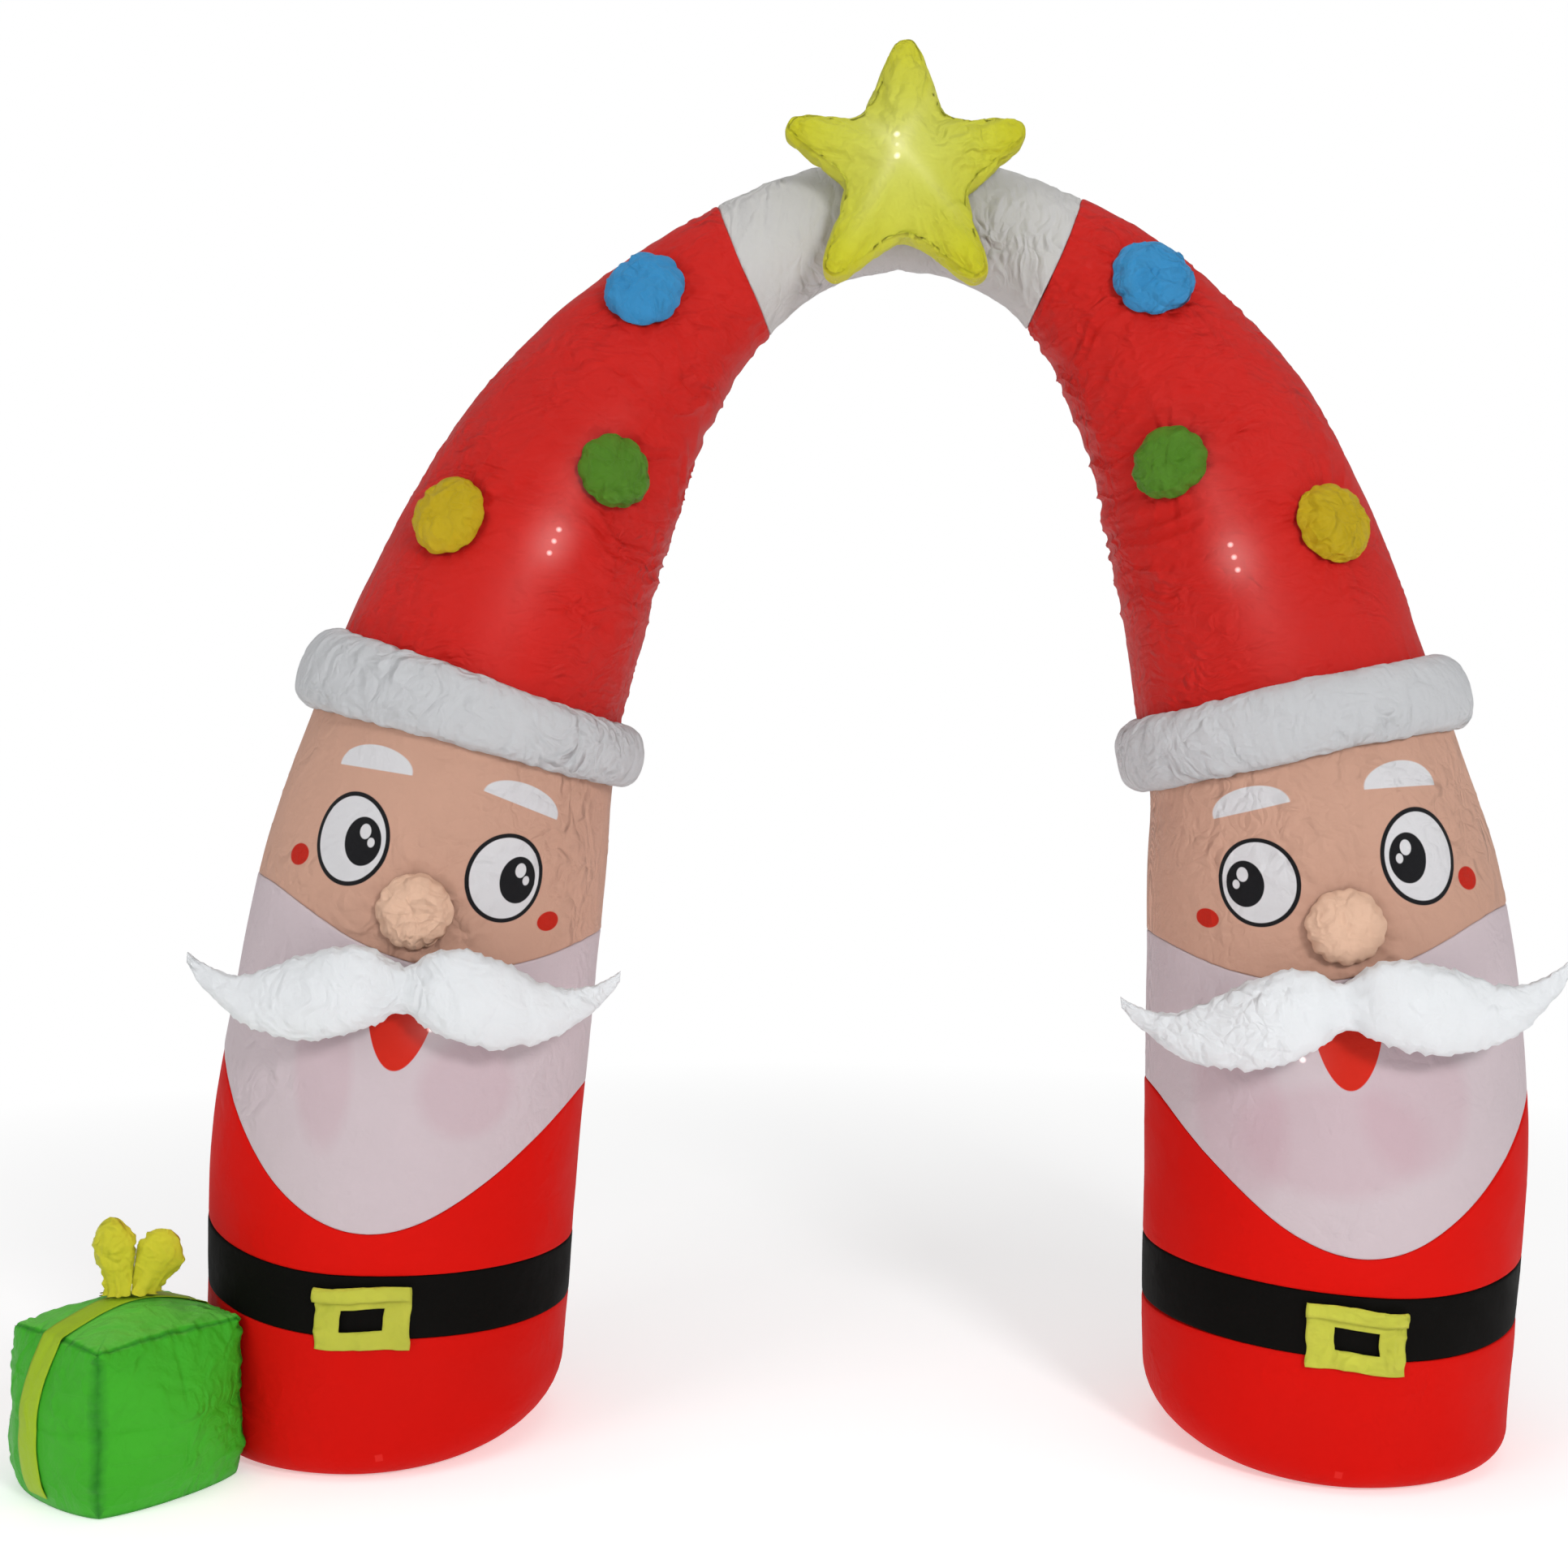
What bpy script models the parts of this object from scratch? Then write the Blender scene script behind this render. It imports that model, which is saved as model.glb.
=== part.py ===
"""Inflatable walk-through arch: two bearded pillars leaning together under a star.

Metres, +Z up, front towards -Y. The arch is one air-filled tube in a vertical plane.
A place on it is given by the length s along its centreline from the floor and by psi,
the angle round it: 0 faces the front and +90 degrees faces the walkway.
"""

import math

import bmesh
import bpy
from mathutils import Vector

# ---- driving dimensions -------------------------------------------------
GAP = 0.0005            # half of the space between two panels, along the centreline
SKIN = 0.0020           # how far a sewn-on piece stands off the tube
SIDES = 28              # facets round the tube
SHIFT = Vector((-0.011, 0.125, 0.0))
ARCH_YAW = math.radians(-2.1)
ARCH_Y = -0.080         # where the plane of the arch passes at x = 0.20
FACE_TURN = math.radians(8.5)   # each face is turned towards the walkway

# centreline x, centreline z and radius, from the floor to the top
LEFT_LINE = [
    (-0.705, 0.000, 0.306), (-0.703, 0.100, 0.308), (-0.695, 0.250, 0.312), (-0.688, 0.420, 0.317),
    (-0.677, 0.550, 0.317), (-0.655, 0.710, 0.311), (-0.632, 0.870, 0.304), (-0.604, 1.016, 0.292),
    (-0.572, 1.160, 0.273), (-0.532, 1.305, 0.255), (-0.480, 1.445, 0.240), (-0.423, 1.585, 0.222),
    (-0.354, 1.720, 0.198), (-0.270, 1.841, 0.168), (-0.172, 1.950, 0.138), (-0.054, 2.044, 0.113),
    (0.065, 2.103, 0.100), (0.200, 2.128, 0.095),
]
RIGHT_LINE = [
    (0.931, 0.000, 0.303), (0.934, 0.100, 0.304), (0.940, 0.250, 0.311), (0.949, 0.420, 0.316),
    (0.952, 0.550, 0.318), (0.949, 0.700, 0.314), (0.941, 0.850, 0.304), (0.926, 0.988, 0.290),
    (0.901, 1.140, 0.263), (0.864, 1.281, 0.248), (0.828, 1.425, 0.235), (0.785, 1.570, 0.218),
    (0.731, 1.710, 0.198), (0.659, 1.839, 0.170), (0.568, 1.958, 0.139), (0.455, 2.052, 0.110),
    (0.335, 2.106, 0.100), (0.200, 2.128, 0.095),
]

# seams, as lengths up the left leg; the right leg's seams sit a little lower
LOWER_BY = {"left": 0.0, "right": 0.028}
BELT_LOW, BELT_HIGH = 0.235, 0.336
BEARD_LOW, BEARD_RISE = 0.404, 0.236
FACE_LOW, FACE_RISE = 0.845, 0.080
CUFF_AT, CUFF_HIGH, CUFF_OUT = 1.272, 0.116, 0.044
HAT_END = 2.190

NOSE_AT, NOSE_RADIUS, NOSE_OUT = 0.932, 0.059, 0.040
MOUSTACHE_AT = 0.806
MOUSTACHE_TILT = {"left": math.radians(3.2), "right": math.radians(6.2)}
POMPOMS = {"blue": (2.035, -19.0), "green": (1.748, 31.0), "yellow": (1.558, -28.0)}
POMPOM_RADIUS, POMPOM_OUT = 0.062, 0.041
BUCKLE_WIDE, BUCKLE_HIGH, BUCKLE_HOLE = 0.152, 0.098, (0.068, 0.036)

STAR_SIDE = 0.058
# direction in degrees and distance of the points of its outline, anticlockwise from the top
STAR_CORNERS = [
    (86, 0.240), (94, 0.240), (124, 0.118), (150, 0.222), (158, 0.224), (181, 0.088),
    (227, 0.218), (235, 0.215), (270, 0.080), (304, 0.218), (312, 0.222), (348, 0.094),
    (19, 0.224), (27, 0.222), (56, 0.112),
]
STAR_BACK = 0.113       # from the arch plane to the star's back seam
STAR_X, STAR_Z = 0.208, 2.133

BOX_HALF, BOX_HIGH, BOX_CROWN = 0.131, 0.258, 0.045
BOX_AT = (-1.064, -0.324)
BOX_TURN = math.radians(50.6)
RIBBON_WIDE, RIBBON_THICK = 0.055, 0.0015

ALONG = Vector((math.cos(ARCH_YAW), math.sin(ARCH_YAW), 0.0))
FRONT = Vector((math.sin(ARCH_YAW), -math.cos(ARCH_YAW), 0.0))
UP = Vector((0.0, 0.0, 1.0))

COLOURS = {
    "red": (0.66, 0.016, 0.010), "black": (0.008, 0.008, 0.009), "white": (0.74, 0.74, 0.76),
    "beard": (0.68, 0.62, 0.66), "skin": (0.74, 0.40, 0.27), "nose": (0.80, 0.50, 0.37),
    "buckle": (0.66, 0.66, 0.06), "blue": (0.02, 0.21, 0.60), "green": (0.09, 0.33, 0.05),
    "yellow": (0.70, 0.56, 0.05), "star": (0.74, 0.72, 0.05), "box": (0.05, 0.38, 0.03),
    "ribbon": (0.58, 0.66, 0.08),
}


# ---- the tube -----------------------------------------------------------
def spline(points, steps=12):
    """A smooth line through the points, as samples with the length so far."""
    pad = [tuple(2 * a - b for a, b in zip(points[0], points[1]))] + list(points)
    pad.append(tuple(2 * a - b for a, b in zip(points[-1], points[-2])))
    line = []
    for i in range(1, len(pad) - 2):
        a, b, c, d = pad[i - 1:i + 3]
        for k in range(steps):
            t = k / steps
            line.append(tuple(
                0.5 * (2 * q + (r - p) * t + (2 * p - 5 * q + 4 * r - w) * t * t
                       + (3 * q - p - 3 * r + w) * t ** 3)
                for p, q, r, w in zip(a, b, c, d)))
    line.append(points[-1])
    length, out = 0.0, [(0.0,) + line[0]]
    for a, b in zip(line, line[1:]):
        length += math.hypot(b[0] - a[0], b[1] - a[1])
        out.append((length,) + tuple(b))
    return out


LINES = {"left": spline(LEFT_LINE), "right": spline(RIGHT_LINE)}
LENGTH = {side: line[-1][0] for side, line in LINES.items()}
INWARD = {"left": 1.0, "right": -1.0}


def sample(side, s):
    """Centreline x, z and radius at length s, straight on past either end."""
    line = LINES[side]
    s = min(max(s, 0.0), LENGTH[side])
    for a, b in zip(line, line[1:]):
        if s <= b[0]:
            t = (s - a[0]) / max(b[0] - a[0], 1e-9)
            return [p + (q - p) * t for p, q in zip(a[1:], b[1:])]
    return list(line[-1][1:])


def frame_at(side, s):
    """Centre, direction along, direction towards the walkway, and radius."""
    x, z, radius = sample(side, s)
    x0, z0, _ = sample(side, s - 0.012)
    x1, z1, _ = sample(side, s + 0.012)
    run = math.hypot(x1 - x0, z1 - z0)
    dx, dz = (x1 - x0) / run, (z1 - z0) / run
    centre = Vector((0.2, ARCH_Y, 0.0)) + ALONG * ((x - 0.2) / ALONG.x) + UP * z
    along = ALONG * dx + UP * dz
    inner = (ALONG * dz - UP * dx) * INWARD[side]
    return centre, along, inner, radius


def on_tube(side, s, psi, out=0.0):
    centre, _, inner, radius = frame_at(side, s)
    return centre + (FRONT * math.cos(psi) + inner * math.sin(psi)) * (radius + out)


def wave(angle, half):
    """0 at the middle, 1 at half and beyond, smooth between."""
    return 0.5 - 0.5 * math.cos(math.pi * min(abs(angle), half) / half)


def wrapped(angle):
    return (angle + math.pi) % (2 * math.pi) - math.pi


def seam(side, name, psi):
    """Length s of a seam at the angle psi round the tube."""
    face = wrapped(psi - FACE_TURN)
    outer = max(0.0, -math.sin(psi))
    low = LOWER_BY[side]
    if name == "belt_low":
        return BELT_LOW - low * 0.7 + 0.030 * outer * outer
    if name == "belt_high":
        return BELT_HIGH - low * 0.7 + 0.040 * outer * outer
    if name == "beard_low":
        return BEARD_LOW - low + BEARD_RISE * wave(face + math.radians(3), math.radians(85))
    if name == "face_low":
        return FACE_LOW - low + FACE_RISE * wave(wrapped(face - math.radians(10)), math.radians(75))
    if name == "hat_low":
        if side == "right":
            return CUFF_AT - low - 0.018 * outer
        return CUFF_AT - low - 0.004 * outer - 0.009 * max(0.0, math.sin(psi))
    return HAT_END - low - 0.026 * math.sin(psi) - (0.008 if side == "right" else 0.0)


def angles():
    return [2 * math.pi * k / SIDES for k in range(SIDES)]


# ---- meshes -------------------------------------------------------------
def material(name):
    made = bpy.data.materials.new(name)
    made.use_nodes = True
    shader = made.node_tree.nodes["Principled BSDF"]
    shader.inputs["Base Color"].default_value = COLOURS[name] + (1.0,)
    shader.inputs["Roughness"].default_value = 0.62
    return made


MATERIALS = {}


def add_object(name, verts, faces, colour):
    mesh = bpy.data.meshes.new(name)
    mesh.from_pydata([tuple(Vector(v) + SHIFT) for v in verts], [], faces)
    work = bmesh.new()
    work.from_mesh(mesh)
    bmesh.ops.recalc_face_normals(work, faces=work.faces)
    bmesh.ops.triangulate(work, faces=work.faces)
    work.to_mesh(mesh)
    work.free()
    if colour not in MATERIALS:
        MATERIALS[colour] = material(colour)
    made = bpy.data.objects.new(name, mesh)
    made.data.materials.append(MATERIALS[colour])
    bpy.context.scene.collection.objects.link(made)
    return made


def loft(rings, start=None, end=None, wrap=False):
    """Closed body through rings of points; start and end are the points that close it."""
    n = len(rings[0])
    verts = [p for ring in rings for p in ring]
    faces = []
    count = len(rings)
    for i in range(count if wrap else count - 1):
        j = (i + 1) % count
        for k in range(n):
            m = (k + 1) % n
            faces.append((i * n + k, i * n + m, j * n + m, j * n + k))
    if not wrap:
        verts += [start, end]
        a, b = len(verts) - 2, len(verts) - 1
        for k in range(n):
            m = (k + 1) % n
            faces.append((a, m, k))
            faces.append((b, (count - 1) * n + k, (count - 1) * n + m))
    return verts, faces


# ---- panels of the tube -------------------------------------------------
def panel(side, low, high, rows):
    """Part of the tube between two seams, closed across at each seam."""
    rings = []
    for i in range(rows + 1):
        ring = []
        for psi in angles():
            a, b = seam(side, low, psi) + GAP, seam(side, high, psi) - GAP
            ring.append(on_tube(side, a + (b - a) * i / rows, psi))
        rings.append(ring)
    middle = [sum(seam(side, name, psi) for psi in angles()) / SIDES for name in (low, high)]
    ends = [frame_at(side, middle[0] + GAP)[0], frame_at(side, middle[1] - GAP)[0]]
    return loft(rings, *ends)


def base_round(psi):
    return 0.048 + 0.070 * max(0.0, math.sin(psi)) ** 2


def coat_lower(side):
    """Foot of the leg: flat on the floor, with a soft rounded edge."""
    rings = []
    for step in range(5):
        turn = math.pi / 2 * step / 4
        ring = []
        for psi in angles():
            r = base_round(psi)
            height = r * (1 - math.cos(turn))
            p = on_tube(side, height, psi, -r * (1 - math.sin(turn)))
            ring.append(Vector((p.x, p.y, height)))
        rings.append(ring)
    for t in (0.5, 1.0):
        ring = []
        for psi in angles():
            low, high = base_round(psi), seam(side, "belt_low", psi) - GAP
            ring.append(on_tube(side, low + (high - low) * t, psi))
        rings.append(ring)
    middle = sum(seam(side, "belt_low", psi) for psi in angles()) / SIDES
    foot = frame_at(side, 0.0)[0]
    top = frame_at(side, middle - GAP)[0]
    return loft(rings, Vector((foot.x, foot.y, 0.0)), top)


def top_section():
    """White tube from one hat to the other, over the walkway."""
    stops = {side: [seam(side, "hat_end", psi) + GAP for psi in angles()] for side in LINES}
    rings = []
    for side, order in (("left", range(5)), ("right", range(3, -1, -1))):
        for i in order:
            t = i / 4
            ring = []
            for psi, start in zip(angles(), stops[side]):
                ring.append(on_tube(side, start + (LENGTH[side] - start) * t, psi))
            rings.append(ring)
    ends = [frame_at(side, sum(stops[side]) / SIDES)[0] for side in ("left", "right")]
    return loft(rings, *ends)


# ---- sewn-on pieces -----------------------------------------------------
def cuff(side):
    """Filled roll round the tube, flat where it lies on the tube."""
    section = [(-0.50, 0.0), (0.0, 0.0), (0.50, 0.0), (0.53, 0.30), (0.42, 0.72), (0.16, 0.97),
               (-0.16, 1.0), (-0.44, 0.76), (-0.54, 0.32)]
    rings = []
    for psi in angles():
        at = seam(side, "hat_low", psi)
        rings.append([on_tube(side, at + CUFF_HIGH * v, psi, SKIN + CUFF_OUT * w) for v, w in section])
    return loft(rings, wrap=True)


def puff(side, s, psi, size, out, gathers=7, around=14):
    """Gathered disc that bulges off the tube; its back follows the tube."""
    radius = frame_at(side, s)[3]

    def place(share, angle, height):
        rim = size * share * (1 + 0.02 * math.cos(gathers * angle) * share)
        return on_tube(side, s + rim * math.sin(angle), psi + rim * math.cos(angle) / radius, height)

    profile = [(0.50, SKIN), (0.90, SKIN), (1.00, 0.30 * out), (0.92, 0.64 * out), (0.64, 0.90 * out)]
    rings = [[place(share, 2 * math.pi * k / around, height) for k in range(around)]
             for share, height in profile]
    return loft(rings, place(0, 0, SKIN), place(0, 0, out))


# half of the moustache: distance from its middle, spine height, half height, half depth, stand-off
MOUSTACHE = [
    (0.000, 0.002, 0.036, 0.026, 0.031), (0.025, 0.004, 0.049, 0.034, 0.038),
    (0.055, 0.003, 0.065, 0.044, 0.045), (0.090, -0.003, 0.073, 0.049, 0.045),
    (0.130, -0.012, 0.073, 0.049, 0.040), (0.170, -0.019, 0.065, 0.044, 0.031),
    (0.210, -0.026, 0.052, 0.037, 0.022), (0.250, -0.025, 0.039, 0.029, 0.013),
    (0.285, -0.013, 0.027, 0.021, 0.004), (0.320, 0.010, 0.015, 0.012, -0.006),
]
MOUSTACHE_TIP = (0.343, 0.036, -0.013)


def moustache(side, around=10):
    """Two lobes in one filled piece, sewn to the face at its pinched middle."""
    s = MOUSTACHE_AT - LOWER_BY[side]
    centre, along, inner, radius = frame_at(side, s)
    turn = FACE_TURN + (math.radians(1.5) if side == "right" else 0.0)
    out = FRONT * math.cos(turn) + inner * math.sin(turn)
    flat = (inner * math.cos(turn) - FRONT * math.sin(turn))
    flat = Vector((flat.x, flat.y, 0.0)).normalized()
    tilt = -MOUSTACHE_TILT[side]
    across = flat * math.cos(tilt) + UP * math.sin(tilt)
    rise = UP * math.cos(tilt) - flat * math.sin(tilt)
    root = centre + out * radius

    def place(u, v, w):
        return root + across * u + rise * v + out * w

    def ring(sign, row):
        u, v, high, deep, off = row
        points = []
        for k in range(around):
            a = 2 * math.pi * k / around
            points.append(place(sign * u, v + high * math.cos(a), SKIN + off + deep * math.sin(a)))
        return points

    rings = [ring(-1, row) for row in reversed(MOUSTACHE[1:])] + [ring(1, row) for row in MOUSTACHE]
    u, v, w = MOUSTACHE_TIP
    return loft(rings, place(-u, v, w), place(u, v, w))


def buckle(side):
    """Limp cloth rectangle with a hole, its top edge folded over to the front."""
    s = 0.5 * (seam(side, "belt_low", 0.0) + seam(side, "belt_high", 0.0)) - 0.019
    turn = FACE_TURN - math.radians(3.2)
    radius = frame_at(side, s)[3]
    hole_w, hole_h = BUCKLE_HOLE
    us = [-0.5 * BUCKLE_WIDE, -0.055, -0.5 * hole_w, 0.0, 0.5 * hole_w, 0.055, 0.5 * BUCKLE_WIDE]
    vs = [-0.5 * BUCKLE_HIGH, -0.034, -0.5 * hole_h, 0.5 * hole_h, 0.036, 0.5 * BUCKLE_HIGH]
    fold = [(0.5 * BUCKLE_HIGH + 0.004, 0.0035), (0.5 * BUCKLE_HIGH + 0.001, 0.0075),
            (0.5 * BUCKLE_HIGH - 0.013, 0.0090)]
    rows = [(v, 0.0) for v in vs] + fold

    def place(u, v, w):
        sag = 0.002 + 0.0015 * math.sin(41 * u + 23 * v)
        return on_tube(side, s + v + 0.003 * math.sin(30 * u), turn + u / radius, sag + w)

    verts = [place(u, v, w) for v, w in rows for u in us]
    n = len(us)
    faces = []
    for j in range(len(rows) - 1):
        for i in range(n - 1):
            if j == 2 and i in (2, 3):
                continue
            faces.append((j * n + i, j * n + i + 1, (j + 1) * n + i + 1, (j + 1) * n + i))
    return thicken(verts, faces, 0.0016, frame_at(side, s)[0])


def thicken(verts, faces, thick, centre):
    """Gives a sheet its thickness, growing away from the centre on the first layer's outer side."""
    work = bmesh.new()
    made = [work.verts.new(v) for v in verts]
    for f in faces:
        work.faces.new([made[i] for i in f])
    bmesh.ops.recalc_face_normals(work, faces=work.faces)
    work.normal_update()
    work.faces.ensure_lookup_table()
    first = work.faces[0]
    sign = 1.0 if first.normal.dot(first.calc_center_median() - centre) > 0 else -1.0
    work.verts.ensure_lookup_table()
    work.verts.index_update()
    moved = [v.co + v.normal * thick * sign for v in work.verts]
    out_faces = [tuple(v.index for v in f.verts) for f in work.faces]
    n = len(moved)
    rims = [tuple(v.index for v in e.verts) for e in work.edges if e.is_boundary]
    base = [v.co.copy() for v in work.verts]
    work.free()
    all_faces = out_faces + [tuple(i + n for i in reversed(f)) for f in out_faces]
    all_faces += [(a, b, b + n, a + n) for a, b in rims]
    return base + moved, all_faces


# ---- the star -----------------------------------------------------------
def star_outline(count=60):
    """Plump five-pointed outline, in the plane of the star."""
    corners = [(r * math.cos(math.radians(a)), r * math.sin(math.radians(a))) for a, r in STAR_CORNERS]
    per = count // len(corners)
    line = []
    for p, q in zip(corners, corners[1:] + corners[:1]):
        line += [tuple(a + (b - a) * i / per for a, b in zip(p, q)) for i in range(per)]
    for _ in range(3):
        line = [tuple(0.25 * a + 0.5 * b + 0.25 * c for a, b, c in zip(before, here, after))
                for before, here, after in zip(line[-1:] + line, line, line[1:] + line[:1])]
    return line


def edge_distance(x, y, outline):
    best = 1.0
    for (ax, ay), (bx, by) in zip(outline, outline[1:] + outline[:1]):
        dx, dy = bx - ax, by - ay
        t = min(1.0, max(0.0, ((x - ax) * dx + (y - ay) * dy) / (dx * dx + dy * dy)))
        best = min(best, math.hypot(x - ax - t * dx, y - ay - t * dy))
    return best


def star():
    outline = star_outline()
    middle = Vector((STAR_X, ARCH_Y, 0.0)) + UP * STAR_Z + FRONT * STAR_BACK

    def place(x, y, w):
        return middle + ALONG * x + UP * y + FRONT * w

    def crown(x, y, share):
        d = min(edge_distance(x, y, outline), 0.105)
        return share * math.sqrt(max(0.0, d * (0.21 - d)))

    rings = []
    for t in (0.55, 1.0):
        rings.append([place(x * t, y * t, -crown(x * t, y * t, 0.09)) for x, y in outline])
    rings.append([place(x * 1.03, y * 1.03, 0.5 * STAR_SIDE) for x, y in outline])
    for t in (1.0, 0.86, 0.62, 0.32):
        rings.append([place(x * t, y * t, STAR_SIDE + crown(x * t, y * t, 0.44)) for x, y in outline])
    return loft(rings, place(0, 0, -crown(0, 0, 0.09)), place(0, 0, STAR_SIDE + crown(0, 0, 0.44)))


# ---- the present --------------------------------------------------------
def box_axes():
    u = Vector((math.cos(BOX_TURN), math.sin(BOX_TURN), 0.0))
    return u, Vector((-u.y, u.x, 0.0))


def clear_of_leg(p, gap):
    """Pushes a point of the present off the left leg, as soft cloth gives way."""
    centre, _, _, radius = frame_at("left", max(p.z, 0.0))
    away = Vector((p.x - centre.x, p.y - centre.y, 0.0))
    if away.length >= radius + gap:
        return p
    pushed = centre + away.normalized() * (radius + gap)
    return Vector((pushed.x, pushed.y, p.z))


def box_point(a, b, c):
    """A point of the crowned cube for cube coordinates from -1 to 1."""
    u, v = box_axes()

    def bow(p, q):
        return math.cos(0.5 * math.pi * p) * math.cos((0.5 if q > 0 else 0.38) * math.pi * q)

    draw = (0.05 if c > 0 else 0.05 + 0.04 * c) * (1 - abs(a * b * c) ** 0.5)
    half = BOX_HALF * (1 - draw) * (1.0 + 0.02 * max(0.0, -c))
    x = a * half + BOX_CROWN * bow(b, c) * a ** 3
    y = b * half + BOX_CROWN * bow(a, c) * b ** 3
    z = 0.5 * BOX_HIGH * (1 + c) + 0.75 * BOX_CROWN * bow(a, abs(b)) * max(0.0, c) ** 3
    low = 0.050
    if z < low:
        tuck = 1 - 0.05 * (1 - z / low) ** 2
        x, y = x * tuck, y * tuck
    return Vector((BOX_AT[0], BOX_AT[1], 0.0)) + u * x + v * y + UP * z


def present_box(n=7):
    """Filled cube with crowned faces; the side against the leg is pressed in."""
    index, verts, faces = {}, [], []

    def vert(key):
        if key not in index:
            index[key] = len(verts)
            a, b, c = (2.0 * k / n - 1 for k in key)
            verts.append(clear_of_leg(box_point(a, b, c), 0.0075))
        return index[key]

    for axis in range(3):
        for level in (0, n):
            for i in range(n):
                for j in range(n):
                    quad = []
                    for di, dj in ((0, 0), (1, 0), (1, 1), (0, 1)):
                        key = [i + di, j + dj]
                        key.insert(axis, level)
                        quad.append(vert(tuple(key)))
                    faces.append(tuple(quad))
    return verts, faces


def ribbon_row(a, c, out, gap):
    """One row of points across the ribbon, standing off the cube and clear of the leg."""
    u, v = box_axes()
    away = (u * a ** 7 + UP * c ** 7).normalized()
    half = 0.5 * RIBBON_WIDE / BOX_HALF
    return [clear_of_leg(box_point(a, b, c) + away * out, gap) for b in (-half, 0.0, half)]


def present_ribbon():
    """Flat band up the outer side face, over the top and down the far face."""
    path = [(-1.0, -0.86 + 0.186 * k) for k in range(11)]
    path += [(-0.8 + 0.2 * k, 1.0) for k in range(10)]
    path += [(1.0, 1.0 - 0.186 * k) for k in range(8)]
    low = [ribbon_row(a, c, 0.0044, 0.0044) for a, c in path]
    high = [ribbon_row(a, c, 0.0044 + RIBBON_THICK, 0.0044 - RIBBON_THICK) for a, c in path]
    return strip(low, high)


def strip(points_low, points_high):
    """Closed strip from two layers, each a list of rows with the same number of points."""
    rings = []
    for low, high in zip(points_low, points_high):
        rings.append(list(low) + list(reversed(high)))
    n = len(rings[0])
    verts = [p for ring in rings for p in ring]
    faces = []
    for i in range(len(rings) - 1):
        for k in range(n):
            m = (k + 1) % n
            faces.append((i * n + k, i * n + m, (i + 1) * n + m, (i + 1) * n + k))
    wide = n // 2
    last = (len(rings) - 1) * n
    for k in range(wide - 1):
        faces.append((k + 1, k, n - 1 - k, n - 2 - k))
        faces.append((last + k, last + k + 1, last + n - 2 - k, last + n - 1 - k))
    return verts, faces


BOW_LOBES = {
    # lean from upright, length, half width, half depth, where its foot stands along the ribbon
    "left": (math.radians(-8), 0.122, 0.030, 0.022, -0.009),
    "right": (math.radians(24), 0.099, 0.035, 0.026, 0.030),
}
LOBE = [(0.00, 0.30), (0.10, 0.55), (0.25, 0.80), (0.45, 1.00), (0.68, 0.98), (0.86, 0.74), (0.96, 0.40)]


def bow_lobe(which, around=10):
    """One filled lobe of the bow, standing on the ribbon."""
    lean, length, wide, deep, foot = BOW_LOBES[which]
    across = Vector((0.937, 0.350, 0.0))
    facing = Vector((0.350, -0.937, 0.0))
    axis = UP * math.cos(lean) + across * math.sin(lean)
    side = across * math.cos(lean) - UP * math.sin(lean)
    top = box_point(0.0, 0.0, 1.0).z + 0.0044 + RIBBON_THICK + 0.010
    root = Vector((BOX_AT[0], BOX_AT[1], top)) + across * foot

    def place(t, share, angle):
        return (root + axis * length * t + side * wide * share * math.cos(angle)
                + facing * deep * share * math.sin(angle))

    rings = [[place(t, share, 2 * math.pi * k / around) for k in range(around)] for t, share in LOBE]
    return loft(rings, root - axis * 0.003, root + axis * length)


# ---- the whole object ---------------------------------------------------
def build_side(side):
    low = LOWER_BY[side]
    add_object(side + "_coat_lower", *coat_lower(side), "red")
    add_object(side + "_belt", *panel(side, "belt_low", "belt_high", 2), "black")
    add_object(side + "_coat_upper", *panel(side, "belt_high", "beard_low", 4), "red")
    add_object(side + "_beard", *panel(side, "beard_low", "face_low", 5), "beard")
    add_object(side + "_face", *panel(side, "face_low", "hat_low", 4), "skin")
    add_object(side + "_hat", *panel(side, "hat_low", "hat_end", 11), "red")
    add_object(side + "_cuff", *cuff(side), "white")
    turn = FACE_TURN - math.radians(1.0)
    add_object(side + "_nose", *puff(side, NOSE_AT - low, turn, NOSE_RADIUS, NOSE_OUT), "nose")
    add_object(side + "_moustache", *moustache(side), "white")
    add_object(side + "_buckle", *buckle(side), "buckle")
    for colour, (s, degrees) in POMPOMS.items():
        disc = puff(side, s - low * 0.8, math.radians(degrees), POMPOM_RADIUS, POMPOM_OUT)
        add_object(side + "_pompom_" + colour, *disc, colour)


def build():
    for old in list(bpy.data.objects):
        bpy.data.objects.remove(old, do_unlink=True)
    for side in ("left", "right"):
        build_side(side)
    add_object("top_section", *top_section(), "white")
    add_object("star", *star(), "star")
    add_object("present_box", *present_box(), "box")
    add_object("present_ribbon", *present_ribbon(), "ribbon")
    add_object("present_bow_left", *bow_lobe("left"), "star")
    add_object("present_bow_right", *bow_lobe("right"), "star")


build()
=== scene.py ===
"""Inflatable walk-through arch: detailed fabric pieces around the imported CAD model.

Metres, +Z up, front towards -Y. A place on the arch is the length s along its centreline
from the floor and psi, the angle round it: 0 faces the front, +90 degrees the walkway.
"""

import math

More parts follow.
